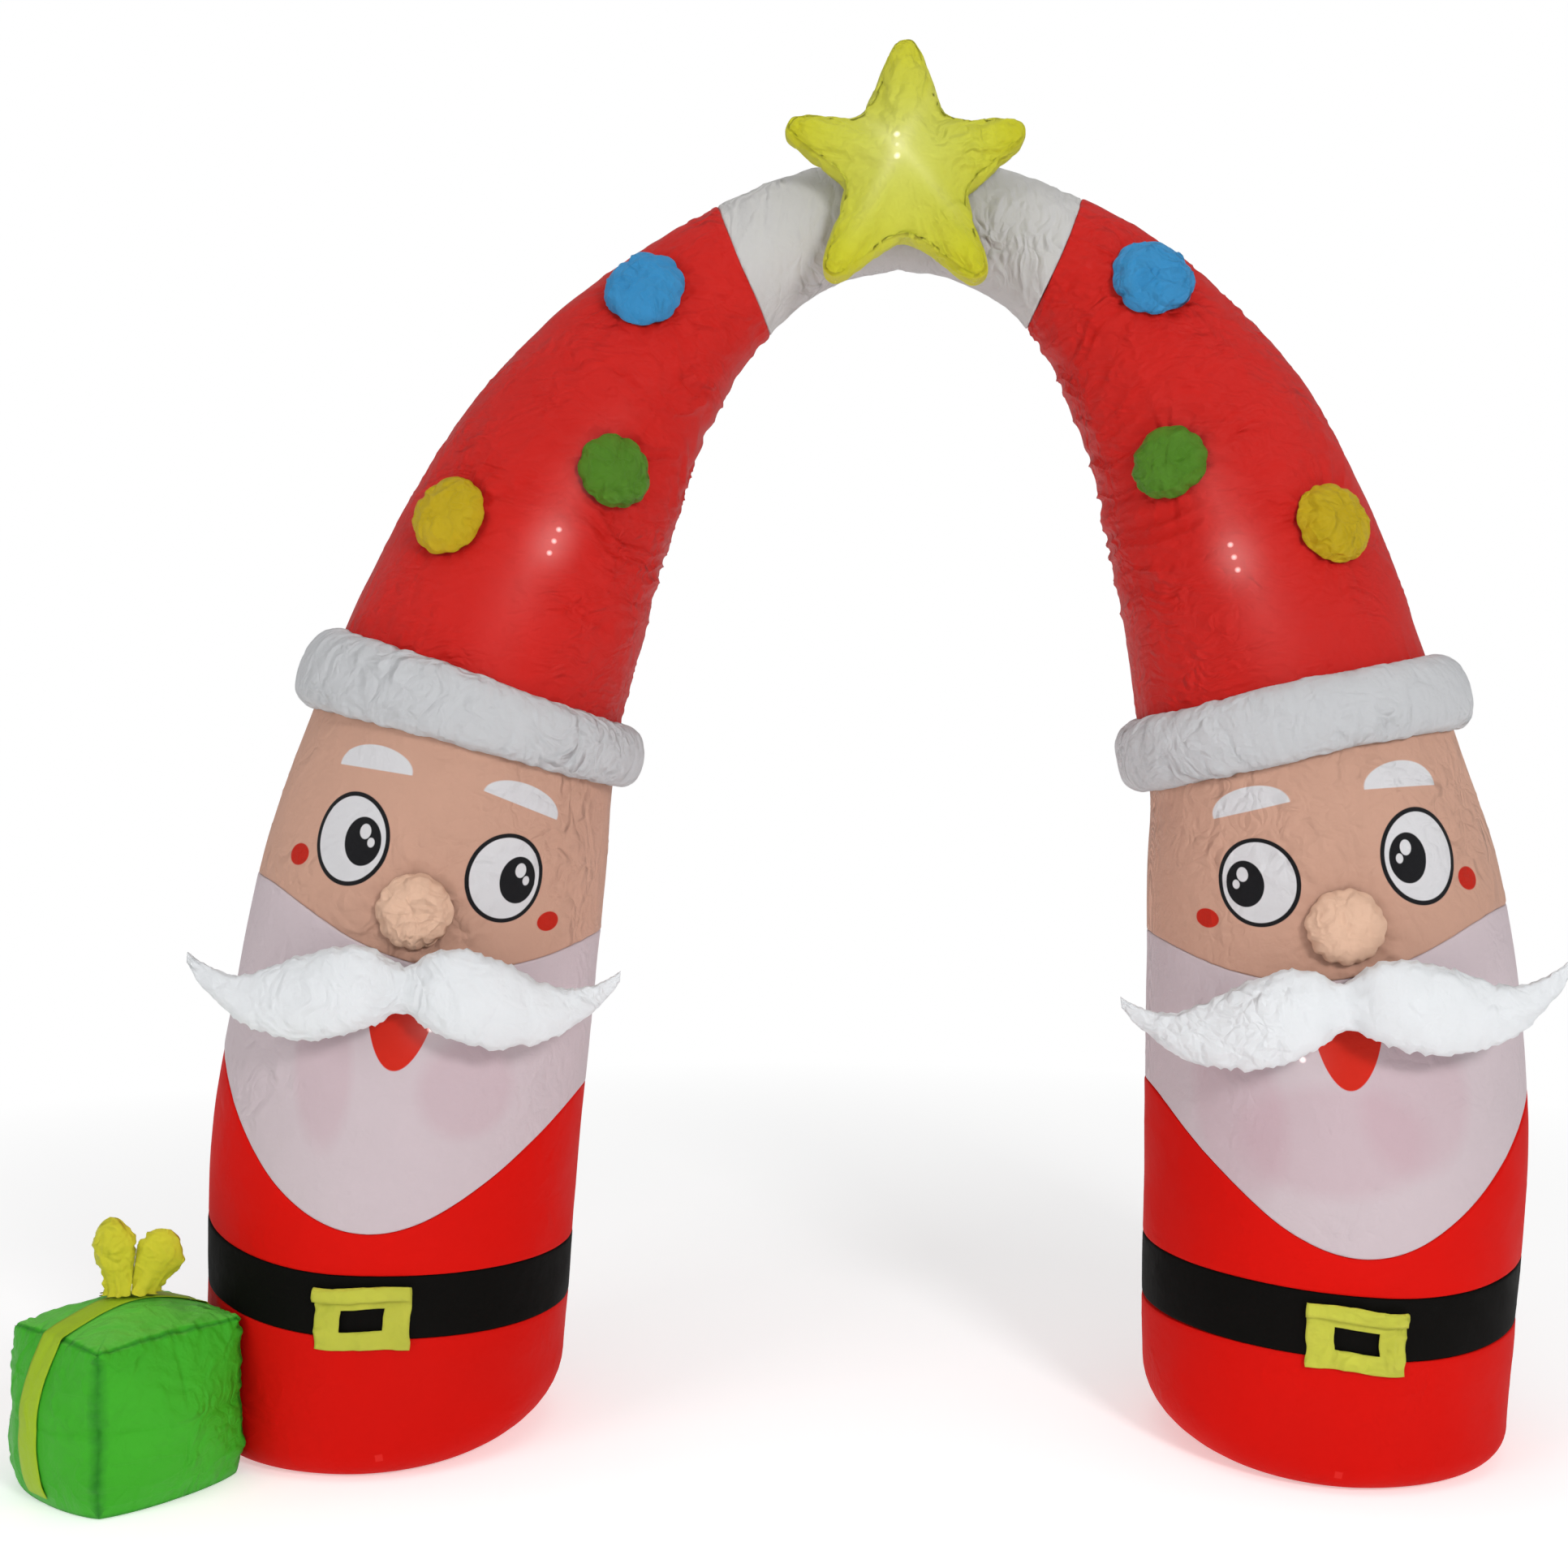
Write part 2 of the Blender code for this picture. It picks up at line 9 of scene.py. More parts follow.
import bpy
import numpy as np
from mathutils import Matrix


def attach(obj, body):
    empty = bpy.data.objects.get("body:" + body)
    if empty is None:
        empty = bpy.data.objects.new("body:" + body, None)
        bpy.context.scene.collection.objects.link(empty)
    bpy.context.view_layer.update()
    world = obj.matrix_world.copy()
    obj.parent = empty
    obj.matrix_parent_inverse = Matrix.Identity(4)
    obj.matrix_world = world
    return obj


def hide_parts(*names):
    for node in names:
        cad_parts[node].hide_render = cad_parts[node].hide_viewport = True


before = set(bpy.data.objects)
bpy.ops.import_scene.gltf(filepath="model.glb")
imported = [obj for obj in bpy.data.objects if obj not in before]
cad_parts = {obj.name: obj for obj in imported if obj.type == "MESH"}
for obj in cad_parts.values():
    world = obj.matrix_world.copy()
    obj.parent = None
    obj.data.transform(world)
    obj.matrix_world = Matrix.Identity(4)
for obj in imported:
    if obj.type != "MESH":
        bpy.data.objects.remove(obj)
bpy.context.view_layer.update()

# ---- the arch's own numbers, as in the CAD ------------------------------
SHIFT = np.array([-0.011, 0.125, 0.0])
ARCH_YAW = math.radians(-2.1)
ARCH_Y = -0.080
FACE_TURN = math.radians(8.5)
SKIN = 0.0020
LEFT_LINE = [
    (-0.705, 0.000, 0.306), (-0.703, 0.100, 0.308), (-0.695, 0.250, 0.312), (-0.688, 0.420, 0.317),
    (-0.677, 0.550, 0.317), (-0.655, 0.710, 0.311), (-0.632, 0.870, 0.304), (-0.604, 1.016, 0.292),
    (-0.572, 1.160, 0.273), (-0.532, 1.305, 0.255), (-0.480, 1.445, 0.240), (-0.423, 1.585, 0.222),
    (-0.354, 1.720, 0.198), (-0.270, 1.841, 0.168), (-0.172, 1.950, 0.138), (-0.054, 2.044, 0.113),
    (0.065, 2.103, 0.100), (0.200, 2.128, 0.095),
]
RIGHT_LINE = [
    (0.931, 0.000, 0.303), (0.934, 0.100, 0.304), (0.940, 0.250, 0.311), (0.949, 0.420, 0.316),
    (0.952, 0.550, 0.318), (0.949, 0.700, 0.314), (0.941, 0.850, 0.304), (0.926, 0.988, 0.290),
    (0.901, 1.140, 0.263), (0.864, 1.281, 0.248), (0.828, 1.425, 0.235), (0.785, 1.570, 0.218),
    (0.731, 1.710, 0.198), (0.659, 1.839, 0.170), (0.568, 1.958, 0.139), (0.455, 2.052, 0.110),
    (0.335, 2.106, 0.100), (0.200, 2.128, 0.095),
]
LOWER_BY = {"left": 0.0, "right": 0.028}
BELT_LOW, BELT_HIGH = 0.235, 0.336
BEARD_LOW, BEARD_RISE = 0.404, 0.236
FACE_LOW, FACE_RISE = 0.845, 0.080
CUFF_AT, CUFF_HIGH, CUFF_OUT = 1.272, 0.116, 0.044
HAT_END = 2.190
NOSE_AT, NOSE_RADIUS, NOSE_OUT = 0.932, 0.059, 0.040
MOUSTACHE_AT = 0.806
MOUSTACHE_TILT = {"left": math.radians(3.2), "right": math.radians(6.2)}
POMPOMS = {"blue": (2.035, -19.0), "green": (1.748, 31.0), "yellow": (1.558, -28.0)}
POMPOM_RADIUS, POMPOM_OUT = 0.062, 0.041
BUCKLE_WIDE, BUCKLE_HIGH, BUCKLE_HOLE = 0.152, 0.098, (0.068, 0.036)
STAR_SIDE, STAR_BACK, STAR_X, STAR_Z = 0.058, 0.113, 0.208, 2.133
STAR_CORNERS = [
    (86, 0.240), (94, 0.240), (124, 0.118), (150, 0.222), (158, 0.224), (181, 0.088),
    (227, 0.218), (235, 0.215), (270, 0.080), (304, 0.218), (312, 0.222), (348, 0.094),
    (19, 0.224), (27, 0.222), (56, 0.112),
]
BOX_HALF, BOX_HIGH, BOX_CROWN = 0.131, 0.258, 0.045
BOX_AT = (-1.064, -0.324)
BOX_TURN = math.radians(50.6)
RIBBON_WIDE = 0.055

SEAM_GAP = 0.0003         # half of the space between two panels
SEAM_SINK = 0.0006        # how much lower the last row of a panel lies, beside its seam
TUCKED = 0.020            # how far a panel's edge turns in behind the seam
POMPOM_LOWER = 0.8        # share of LOWER_BY that applies to the pompoms
MOUSTACHE_HALF = 0.343
CLOTH_THICK = 0.0009
NOTCH_BELOW = 0.13        # corners of the star nearer than this are its notches
CROWN_REACH = 0.105       # from here inwards the star's crown is level
WEAVE_SCALE = 420.0
IMAGE_WIDE, FOCAL_PIXELS, SENSOR_MM = 1932, 2230, 36.0

ALONG = np.array([math.cos(ARCH_YAW), math.sin(ARCH_YAW), 0.0])
FRONT = np.array([math.sin(ARCH_YAW), -math.cos(ARCH_YAW), 0.0])
UP = np.array([0.0, 0.0, 1.0])
INWARD = {"left": 1.0, "right": -1.0}
TAU = 2 * math.pi


# ---- smooth noise -------------------------------------------------------
def hashed(ix, iy, iz, seed):
    h = (ix.astype(np.uint32) * np.uint32(374761393) + iy.astype(np.uint32) * np.uint32(668265263)
         + iz.astype(np.uint32) * np.uint32(2147483629) + np.uint32(seed * 1274126177 % 4294967296))
    h = (h ^ (h >> np.uint32(13))) * np.uint32(1274126177)
    h = (h ^ (h >> np.uint32(16))) * np.uint32(2246822519)
    return ((h ^ (h >> np.uint32(15))).astype(np.float64) / 2147483647.5) - 1.0


def noise(x, y, z=0.0, seed=0):
    """Value noise from -1 to 1 with lattice cells of size 1."""
    x, y, z = np.broadcast_arrays(np.asarray(x, float), np.asarray(y, float), np.asarray(z, float))
    fx, fy, fz = np.floor(x), np.floor(y), np.floor(z)
    ix, iy, iz = (f.astype(np.int64) for f in (fx, fy, fz))
    u, v, w = ((t * t * t * (t * (t * 6 - 15) + 10)) for t in (x - fx, y - fy, z - fz))
    total = 0.0
    for dx in (0, 1):
        for dy in (0, 1):
            for dz in (0, 1):
                weight = (u if dx else 1 - u) * (v if dy else 1 - v) * (w if dz else 1 - w)
                total = total + weight * hashed(ix + dx, iy + dy, iz + dz, seed)
    return total


def fbm(x, y, z=0.0, seed=0, octaves=3):
    total, size, norm = 0.0, 1.0, 0.0
    for k in range(octaves):
        total = total + noise(x / size, y / size, z / size, seed + 17 * k) * size
        norm += size
        size *= 0.5
    return total / norm


def crease(x, y, z=0.0, seed=0, sharp=3.0):
    """Thin ridges, 0 to 1, where a warped noise passes through zero."""
    wx = x + 0.45 * noise(x * 0.7, y * 0.7, z, seed + 5)
    wy = y + 0.45 * noise(x * 0.7, y * 0.7, z + 9.1, seed + 6)
    return np.clip(1 - np.abs(noise(wx, wy, z, seed)) * 2.2, 0, 1) ** sharp


def pleat(x, y, z=0.0, seed=0):
    """Noise from -1 to 1 with sharp crests, as gathered cloth has."""
    return 1 - 2 * np.abs(noise(x, y, z, seed)) ** 0.7 - 0.25


def cells(place, *sizes):
    """A place counted in lattice cells of one size, or of one size for each axis."""
    return [p / size for p, size in zip(place, sizes * 3 if len(sizes) == 1 else sizes)]


def smooth(x, a, b):
    t = np.clip((np.asarray(x, float) - a) / (b - a), 0, 1)
    return t * t * (3 - 2 * t)


# ---- the tube -----------------------------------------------------------
def spline(points, steps=40):
    p = np.array(points, float)
    p = np.vstack([2 * p[0] - p[1], p, 2 * p[-1] - p[-2]])
    t = np.arange(steps)[:, None] / steps
    rows = []
    for a, b, c, d in zip(p, p[1:], p[2:], p[3:]):
        rows.append(0.5 * (2 * b + (c - a) * t + (2 * a - 5 * b + 4 * c - d) * t ** 2
                           + (3 * b - a - 3 * c + d) * t ** 3))
    line = np.vstack(rows + [p[-2:-1]])
    step = np.hypot(*np.diff(line[:, :2], axis=0).T)
    return np.column_stack([np.concatenate([[0], np.cumsum(step)]), line])


LINES = {"left": spline(LEFT_LINE), "right": spline(RIGHT_LINE)}
LENGTH = {side: line[-1, 0] for side, line in LINES.items()}


def sample(side, s):
    line = LINES[side]
    return [np.interp(s, line[:, 0], line[:, k]) for k in (1, 2, 3)]


def frame_at(side, s):
    s = np.asarray(s, float)
    x, z, radius = sample(side, s)
    x0, z0, _ = sample(side, s - 0.012)
    x1, z1, _ = sample(side, s + 0.012)
    run = np.hypot(x1 - x0, z1 - z0)
    dx, dz = ((x1 - x0) / run)[..., None], ((z1 - z0) / run)[..., None]
    centre = np.array([0.2, ARCH_Y, 0.0]) + ALONG * ((x - 0.2) / ALONG[0])[..., None] + UP * z[..., None]
    return centre, ALONG * dx + UP * dz, (ALONG * dz - UP * dx) * INWARD[side], radius


def on_tube(side, s, psi, out=0.0):
    s, psi, out = np.broadcast_arrays(np.asarray(s, float), psi, out)
    centre, _, inner, radius = frame_at(side, s)
    turned = FRONT * np.cos(psi)[..., None] + inner * np.sin(psi)[..., None]
    return centre + turned * (radius + out)[..., None]


def wrapped(angle):
    return (angle + math.pi) % TAU - math.pi


def wave(angle, half):
    return 0.5 - 0.5 * np.cos(math.pi * np.minimum(np.abs(angle), half) / half)


def seam(side, name, psi):
    face, outer, low = wrapped(psi - FACE_TURN), np.maximum(0.0, -np.sin(psi)), LOWER_BY[side]
    if name == "belt_low":
        return BELT_LOW - low * 0.7 + 0.030 * outer * outer
    if name == "belt_high":
        return BELT_HIGH - low * 0.7 + 0.040 * outer * outer
    if name == "beard_low":
        return BEARD_LOW - low + BEARD_RISE * wave(face + math.radians(3), math.radians(85))
    if name == "face_low":
        return FACE_LOW - low + FACE_RISE * wave(wrapped(face - math.radians(10)), math.radians(75))
    if name == "hat_low":
        if side == "right":
            return CUFF_AT - low - 0.018 * outer
        return CUFF_AT - low - 0.004 * outer - 0.009 * np.maximum(0.0, np.sin(psi))
    return HAT_END - low - 0.026 * np.sin(psi) - (0.008 if side == "right" else 0.0)


# ---- materials ----------------------------------------------------------
class Nodes:
    """Short calls that add shader nodes and link them."""

    def __init__(self, name):
        self.material = bpy.data.materials.new(name)
        self.material.use_nodes = True
        self.tree = self.material.node_tree
        self.shader = self.tree.nodes["Principled BSDF"]
        self.object = self.add("ShaderNodeTexCoord").outputs["Object"]
        uv = self.add("ShaderNodeUVMap")
        uv.uv_map = "cloth"
        self.uv = uv.outputs["UV"]

    def add(self, kind, **inputs):
        made = self.tree.nodes.new(kind)
        for key, value in inputs.items():
            self.put(made, key, value)
        return made

    def put(self, node, key, value):
        socket = node.inputs[int(key[1:]) if key[0] == "_" else key.replace("_", " ")]
        if isinstance(value, bpy.types.NodeSocket):
            self.tree.links.new(value, socket)
        else:
            socket.default_value = value

    def math(self, op, a, b=0.0, clamp=False):
        made = self.add("ShaderNodeMath", _0=a, _1=b)
        made.operation, made.use_clamp = op, clamp
        return made.outputs[0]

    def noise(self, scale, detail=2.0, rough=0.5, at=None, stretch=None):
        at = at or self.object
        if stretch:
            at = self.add("ShaderNodeMapping", Vector=at, Scale=stretch).outputs[0]
        return self.add("ShaderNodeTexNoise", Vector=at, Scale=scale, Detail=detail,
                        Roughness=rough).outputs[0]

    def spread(self, value, a, b, low, high):
        made = self.add("ShaderNodeMapRange", Value=value, From_Min=a, From_Max=b, To_Min=low, To_Max=high)
        return made.outputs[0]

    def mix(self, factor, a, b, blend="MIX"):
        made = self.tree.nodes.new("ShaderNodeMix")
        made.data_type, made.blend_type = "RGBA", blend
        self.put(made, "_0", factor)
        self.put(made, "_6", a)
        self.put(made, "_7", b)
        return made.outputs[2]

    def vector(self, op, a, b=None):
        made = self.add("ShaderNodeVectorMath", _0=a, **({} if b is None else {"_1": b}))
        made.operation = op
        return made

    def placed(self, centre, half, turn=0.0):
        """The cloth's own coordinates, from -1 to 1 over a shape of the given place and half size."""
        made = self.add("ShaderNodeMapping", Vector=self.uv, Location=(*centre, 0.0),
                        Rotation=(0.0, 0.0, turn), Scale=(*half, 1.0))
        made.vector_type = "TEXTURE"
        return made.outputs[0]

    def axes(self, vector):
        return self.add("ShaderNodeSeparateXYZ", Vector=vector).outputs

    def oval(self, centre, half, turn=0.0, soft=0.02):
        """1 inside an ellipse on the cloth's own coordinates; soft is a share of its size."""
        at = self.placed(centre, half, turn)
        far = self.vector("LENGTH", at).outputs["Value"]
        return self.spread(far, 1 - soft, 1 + soft, 1.0, 0.0), at


def shade(colour, times):
    return tuple(c * times for c in colour[:3]) + (1.0,)


def cloth(name, colour, rough=0.46, vary=0.05, crinkle=0.5, shine=0.3, prints_and_painted_light=None, glow=None, fine=1.0,
          calm=0.0, grain=(1.0, 1.0, 1.0)):
    """Coated polyester: soft colour variation, fine weave, sharp little creases and a dull sheen."""
    n = Nodes(name)
    colour = (*colour, 1.0)
    broad = n.noise(2.2, 3.0, 0.55)
    base = n.mix(n.spread(broad, 0.32, 0.68, 0.0, 1.0), shade(colour, 1 - vary), shade(colour, 1 + vary))
    mottled = n.noise(38.0, 4.0, 0.62)
    base = n.mix(n.spread(mottled, 0.35, 0.65, 0.0, 0.5 * vary + 0.03), base, shade(colour, 0.72))
    # prints, painted light and painted shade go into the base colour here
    if prints_and_painted_light:
        base = prints_and_painted_light(n, base)
    n.put(n.shader, "Base Color", base)
    threads = []
    for direction in ("Z", "X"):
        wave_node = n.add("ShaderNodeTexWave", Vector=n.object, Scale=WEAVE_SCALE, Distortion=0.4)
        wave_node.bands_direction = direction
        threads.append(wave_node.outputs[1])
    weave = n.math("MULTIPLY", *threads)
    wander = n.add("ShaderNodeTexNoise", Vector=n.object, Scale=9.0, Detail=2.0)
    push = n.vector("MULTIPLY", wander.outputs[1], (0.16, 0.16, 0.16)).outputs[0]
    bent = n.vector("ADD", n.vector("MULTIPLY", n.object, grain).outputs[0], push).outputs[0]
    sharp = n.add("ShaderNodeTexNoise", Vector=bent, Scale=24.0 * fine, Detail=3.0, Roughness=0.5)
    sharp.noise_type = "RIDGED_MULTIFRACTAL"
    sharp.normalize = True
    facets = 0.0
    for scale, weight in ((17.0, 1.0), (37.0, 0.45)):
        folds = n.add("ShaderNodeTexVoronoi", Vector=bent, Scale=scale * fine)
        folds.feature = "DISTANCE_TO_EDGE"
        facets = n.math("ADD", n.math("MULTIPLY", folds.outputs["Distance"], 1.5 * weight), facets)
    patch = n.spread(n.noise(5.0, 2.0), 0.40 + 0.12 * calm, 0.62 + 0.12 * calm, 0.15, 1.0)
    height = n.math("ADD", n.math("MULTIPLY", facets, 0.55), sharp.outputs[0])
    height = n.math("MULTIPLY", height, patch)
    height = n.math("ADD", height, n.math("MULTIPLY", n.noise(80.0 * fine, 2.0, 0.55), 0.14))
    height = n.math("ADD", height, n.math("MULTIPLY", weave, 0.03))
    bump = n.add("ShaderNodeBump", Height=height, Strength=1.0, Distance=0.034 * crinkle)
    n.put(n.shader, "Normal", bump.outputs[0])
    n.put(n.shader, "Roughness", n.spread(n.noise(9.0, 3.0), 0.3, 0.7, rough - 0.06, rough + 0.08))
    n.put(n.shader, "Specular IOR Level", shine)
    n.put(n.shader, "IOR", 1.45)
    if glow:
        n.put(n.shader, "Emission Color", (1.0, 0.90, 0.86, 1.0))
        n.put(n.shader, "Emission Strength", glow(n))
    return n.material


def spots(places, painted_streaks=()):
    """Small lamps seen through the cloth, as emission: (u, s, core radius, halo radius, strength), each with
    a painted glow round it, and long soft painted streaks of light, painted highlights, along it: (u, s, half
    wide, half long, turn, strength)."""
    def glow(n):
        total = 0.0
        # painted highlights: long soft streaks of light drawn as emission on the cloth
        for u, s, wide, tall, turn, strength in painted_streaks:
            soft, _ = n.oval((u, s), (wide, tall), turn, 0.98)
            total = n.math("ADD", n.math("MULTIPLY", n.math("POWER", soft, 2.0), strength), total)
        for u, s, core, halo, strength in places:
            bright, _ = n.oval((u, s), (core, core), soft=0.6)
            # painted glow: a soft halo of light round each lamp, drawn as emission on the cloth
            painted_halo, _ = n.oval((u, s), (halo, halo), soft=0.98)
            painted_halo = n.math("POWER", painted_halo, 3.0)
            bright, painted_halo = n.math("MULTIPLY", bright, strength), n.math("MULTIPLY", painted_halo, 0.09 * strength)
            total = n.math("ADD", n.math("ADD", bright, painted_halo), total)
        return total
    return glow


# ---- meshes -------------------------------------------------------------
def link(name, data):
    made = bpy.data.objects.new(name, data)
    bpy.context.scene.collection.objects.link(made)
    return made


def points_of(mesh):
    found = np.empty(len(mesh.vertices) * 3, np.float32)
    mesh.vertices.foreach_get("co", found)
    return found.reshape(-1, 3).astype(float)


def make(name, verts, faces, material, uv=None, replaces=None):
    """A shown piece from vertices and quads (a quad whose last two corners agree is a triangle)."""
    verts = np.asarray(verts, float) + SHIFT
    faces = np.asarray(faces, np.int64)
    tri = faces[:, 2] == faces[:, 3]
    a, b, c, d = (verts[faces[:, k]] for k in range(4))
    volume = (np.cross(a, b) * c).sum() + np.where(tri[:, None], 0, np.cross(a, c) * d).sum()
    if volume < 0:
        faces = faces[:, ::-1].copy()
        faces[tri] = faces[tri][:, [1, 2, 3, 3]]
    counts = np.where(tri, 3, 4)
    keep = np.ones(faces.shape, bool)
    keep[tri, 3] = False
    loops = faces[keep]
    mesh = bpy.data.meshes.new(name)
    mesh.vertices.add(len(verts))
    mesh.vertices.foreach_set("co", verts.astype(np.float32).ravel())
    mesh.loops.add(len(loops))
    mesh.loops.foreach_set("vertex_index", loops.astype(np.int32))
    mesh.polygons.add(len(faces))
    mesh.polygons.foreach_set("loop_start", np.concatenate([[0], np.cumsum(counts)[:-1]]).astype(np.int32))
    mesh.update(calc_edges=True)
    mesh.validate()
    mesh.polygons.foreach_set("use_smooth", np.ones(len(mesh.polygons), bool))
    layer = mesh.uv_layers.new(name="cloth")
    if uv is None:
        uv = verts[:, [0, 2]]
    found = np.empty(len(mesh.loops), np.int32)
    mesh.loops.foreach_get("vertex_index", found)
    layer.data.foreach_set("uv", np.asarray(uv, np.float32)[found].ravel())
    mesh.materials.append(material)
    made = link(name, mesh)
    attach(made, "root")
    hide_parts(replaces or name.replace("_cloth", ""))
    return made


def relax(obj, held, grow, pressure, cap, frames=10, bend=0.03, stiff=15.0):
    """Cloth simulation with the seams held and a little spare cloth between them; its result is kept.
    held is 1 at stitched points, grow the spare cloth as a share, cap the most that a point may move."""
    scene = bpy.context.scene
    mesh = obj.data
    before = points_of(mesh)
    group = obj.vertex_groups.new(name="held")
    for i in np.flatnonzero(held > 0.01):
        group.add([int(i)], float(held[i]), "REPLACE")
    inflate = obj.modifiers.new("inflate", "CLOTH")
    c = inflate.settings
    c.quality = 5
    c.mass = 0.12
    c.tension_stiffness = c.compression_stiffness = stiff
    c.shear_stiffness = 0.5 * stiff
    c.bending_stiffness = bend
    c.tension_damping = c.compression_damping = c.shear_damping = 6.0
    c.air_damping = 4.0
    c.vertex_group_mass = "held"
    c.pin_stiffness = 1.0
    c.shrink_min = -grow
    c.use_pressure = True
    c.uniform_pressure_force = pressure
    c.effector_weights.gravity = 0.0
    inflate.collision_settings.use_collision = False
    inflate.point_cache.frame_start, inflate.point_cache.frame_end = 1, frames
    for k in range(1, frames + 1):
        scene.frame_set(k)
    after = points_of(obj.evaluated_get(bpy.context.evaluated_depsgraph_get()).to_mesh())
    obj.modifiers.remove(inflate)
    obj.vertex_groups.remove(group)
    scene.frame_set(1)
    step = after - before
    step[~np.isfinite(step).all(1)] = 0.0
    far = np.linalg.norm(step, axis=1)
    step *= (cap * np.tanh(far / cap) / np.maximum(far, 1e-9))[:, None]
    moved = before + step
    moved[:, 2] = np.where(before[:, 2] > -1e-6, np.maximum(moved[:, 2], 0.0), moved[:, 2])
    mesh.vertices.foreach_set("co", moved.astype(np.float32).ravel())
    mesh.update()
    print(f"{obj.name}: moved {far.mean() * 1000:.1f} mm, most {far.max() * 1000:.1f} mm")
    return obj


def grid(rows, cols, wrap=False, base=0):
    """Quads of a grid whose columns close round; wrap closes the rows too."""
    i = np.arange(rows if wrap else rows - 1)[:, None]
    k = np.arange(cols)[None, :]
    j, m = (i + 1) % rows, (k + 1) % cols
    return np.stack(np.broadcast_arrays(base + i * cols + k, base + i * cols + m, base + j * cols + m,
                                        base + j * cols + k), -1).reshape(-1, 4)


def fan(ring, centre, cols, flip=False):
    k = np.arange(cols)
    m = (k + 1) % cols
    a, b = (ring + m, ring + k) if flip else (ring + k, ring + m)
    return np.stack([np.full(cols, centre), a, b, b], -1)


def closed(rings, start, end, uv=None):
    """Closed body through rings (rows, cols, 3) and its two end points."""
    rows, cols = rings.shape[:2]
    verts = np.vstack([rings.reshape(-1, 3), start[None], end[None]])
    n = rows * cols
    faces = np.vstack([grid(rows, cols), fan(0, n, cols, True), fan((rows - 1) * cols, n + 1, cols)])
    if uv is not None:
        uv = np.vstack([uv.reshape(-1, 2), uv[0].mean(0)[None], uv[-1].mean(0)[None]])
    return verts, faces, uv


def around(cols, dense=0.30):
    """Angles round the tube, closer together at the front."""
    t = np.arange(cols) / cols
    return wrapped(TAU * t - dense * np.sin(TAU * t) + 1e-9)


def radial(side, s, psi, s0, degrees, size, seed, amount=0.0026, reach=0.085, count=4.2):
    """Gathers that radiate from a sewn-on piece."""
    radius = frame_at(side, s)[3]
    u = wrapped(psi - math.radians(degrees)) * radius
    v = s - s0
    rho, angle = np.hypot(u, v), np.arctan2(v, u)
    far = np.maximum(rho - size, 0.0)
    ripple = pleat(np.cos(angle) * count + 7, np.sin(angle) * count + 3, 0.12 * rho / size, seed)
    ripple = ripple + 0.6 * noise(np.cos(angle) * count * 2.1, np.sin(angle) * count * 2.1, 5.0, seed + 1)
    near = np.exp(-far / (reach * (0.7 + 0.5 * noise(np.cos(angle) * 2, np.sin(angle) * 2, 1.0, seed + 2))))
    dent = -0.004 * np.exp(-far / 0.02)
    return (amount * ripple * near + dent) * smooth(rho, size * 0.55, size)


def puckers(side, psi, radius, distance, seed, amount=0.0012, pitch=0.022, reach=0.020):
    """Small gathers square to a seam at the given distance from it."""
    u = np.cos(psi) * radius / pitch
    v = np.sin(psi) * radius / pitch
    ripple = pleat(u, v, 0.25 * distance / reach, seed) * (0.6 + 0.6 * noise(u * 0.2, v * 0.2, 3.0, seed + 3))
    return amount * ripple * np.exp(-np.maximum(distance, 0) / reach)


def lip(distance, depth=0.0016, width=0.0045):
    return -depth * np.clip(1 - distance / width, 0, 1) ** 2


# ---- panels of the tube -------------------------------------------------
def panel(side, name, low, high, rows, cols, relief, seed, material):
    psi = around(cols)
    a, b = seam(side, low, psi) + SEAM_GAP, seam(side, high, psi) - SEAM_GAP
    inside = np.linspace(0, 1, rows)
    at = a[None] + (b - a)[None] * inside[:, None]
    edge = np.array([0.0, 0.0012, 0.003, 0.0055])
    start, end = a[None] + edge[:, None], b[None] - edge[::-1, None]
    step = (b - a)[None] / (rows - 1)
    keep = [i for i in range(rows) if np.all(at[i] - a > 0.008) and np.all(b - at[i] > 0.008)]
    s = np.vstack([start, at[keep], end])
    psi2 = np.broadcast_to(psi, s.shape)
    radius = frame_at(side, s)[3]
    out = lip(s - a) + lip(b - s) + relief(side, seed, s, psi2, s - a, b - s, radius)
    out[[0, -1]] -= SEAM_SINK
    inner_a, inner_b = on_tube(side, a, psi, -TUCKED), on_tube(side, b, psi, -TUCKED)
    rings = np.concatenate([inner_a[None], on_tube(side, s, psi2, out), inner_b[None]])
    s_all = np.vstack([a[None], s, b[None]])
    uv = np.stack([np.broadcast_to(psi, s_all.shape) * frame_at(side, s_all)[3], s_all], -1)
    ends = [frame_at(side, m.mean())[0] for m in (a, b)]
    verts, faces, uv = closed(rings, ends[0], ends[1], uv)
    return make(f"{side}_{name}_cloth", verts, faces, material, uv)


def local(side, s, psi, radius):
    """Coordinates on which noise closes round the tube."""
    return np.cos(psi) * radius, np.sin(psi) * radius + (5.0 if side == "right" else 0.0), s


# Each relief gives how far the cloth stands off the tube, from its place and its distances to both seams.
def coat_relief(side, seed, s, psi, from_low, to_high, radius):
    at = local(side, s, psi, radius)
    out = 0.0018 * fbm(*cells(at, 0.17), seed, 2)
    out += 0.0004 * crease(*cells(at, 0.06, 0.06, 0.05), seed + 3)
    return out + puckers(side, psi, radius, to_high, seed + 8, 0.0007)


def beard_relief(side, seed, s, psi, from_low, to_high, radius):
    at = local(side, s, psi, radius)
    out = 0.0020 * fbm(*cells(at, 0.16), seed, 2)
    some = smooth(fbm(*cells(at, 0.2), seed + 9), -0.1, 0.4)
    out += 0.0006 * crease(*cells(at, 0.05, 0.05, 0.045), seed + 3) * some
    return out + puckers(side, psi, radius, to_high, seed + 8, 0.0009)


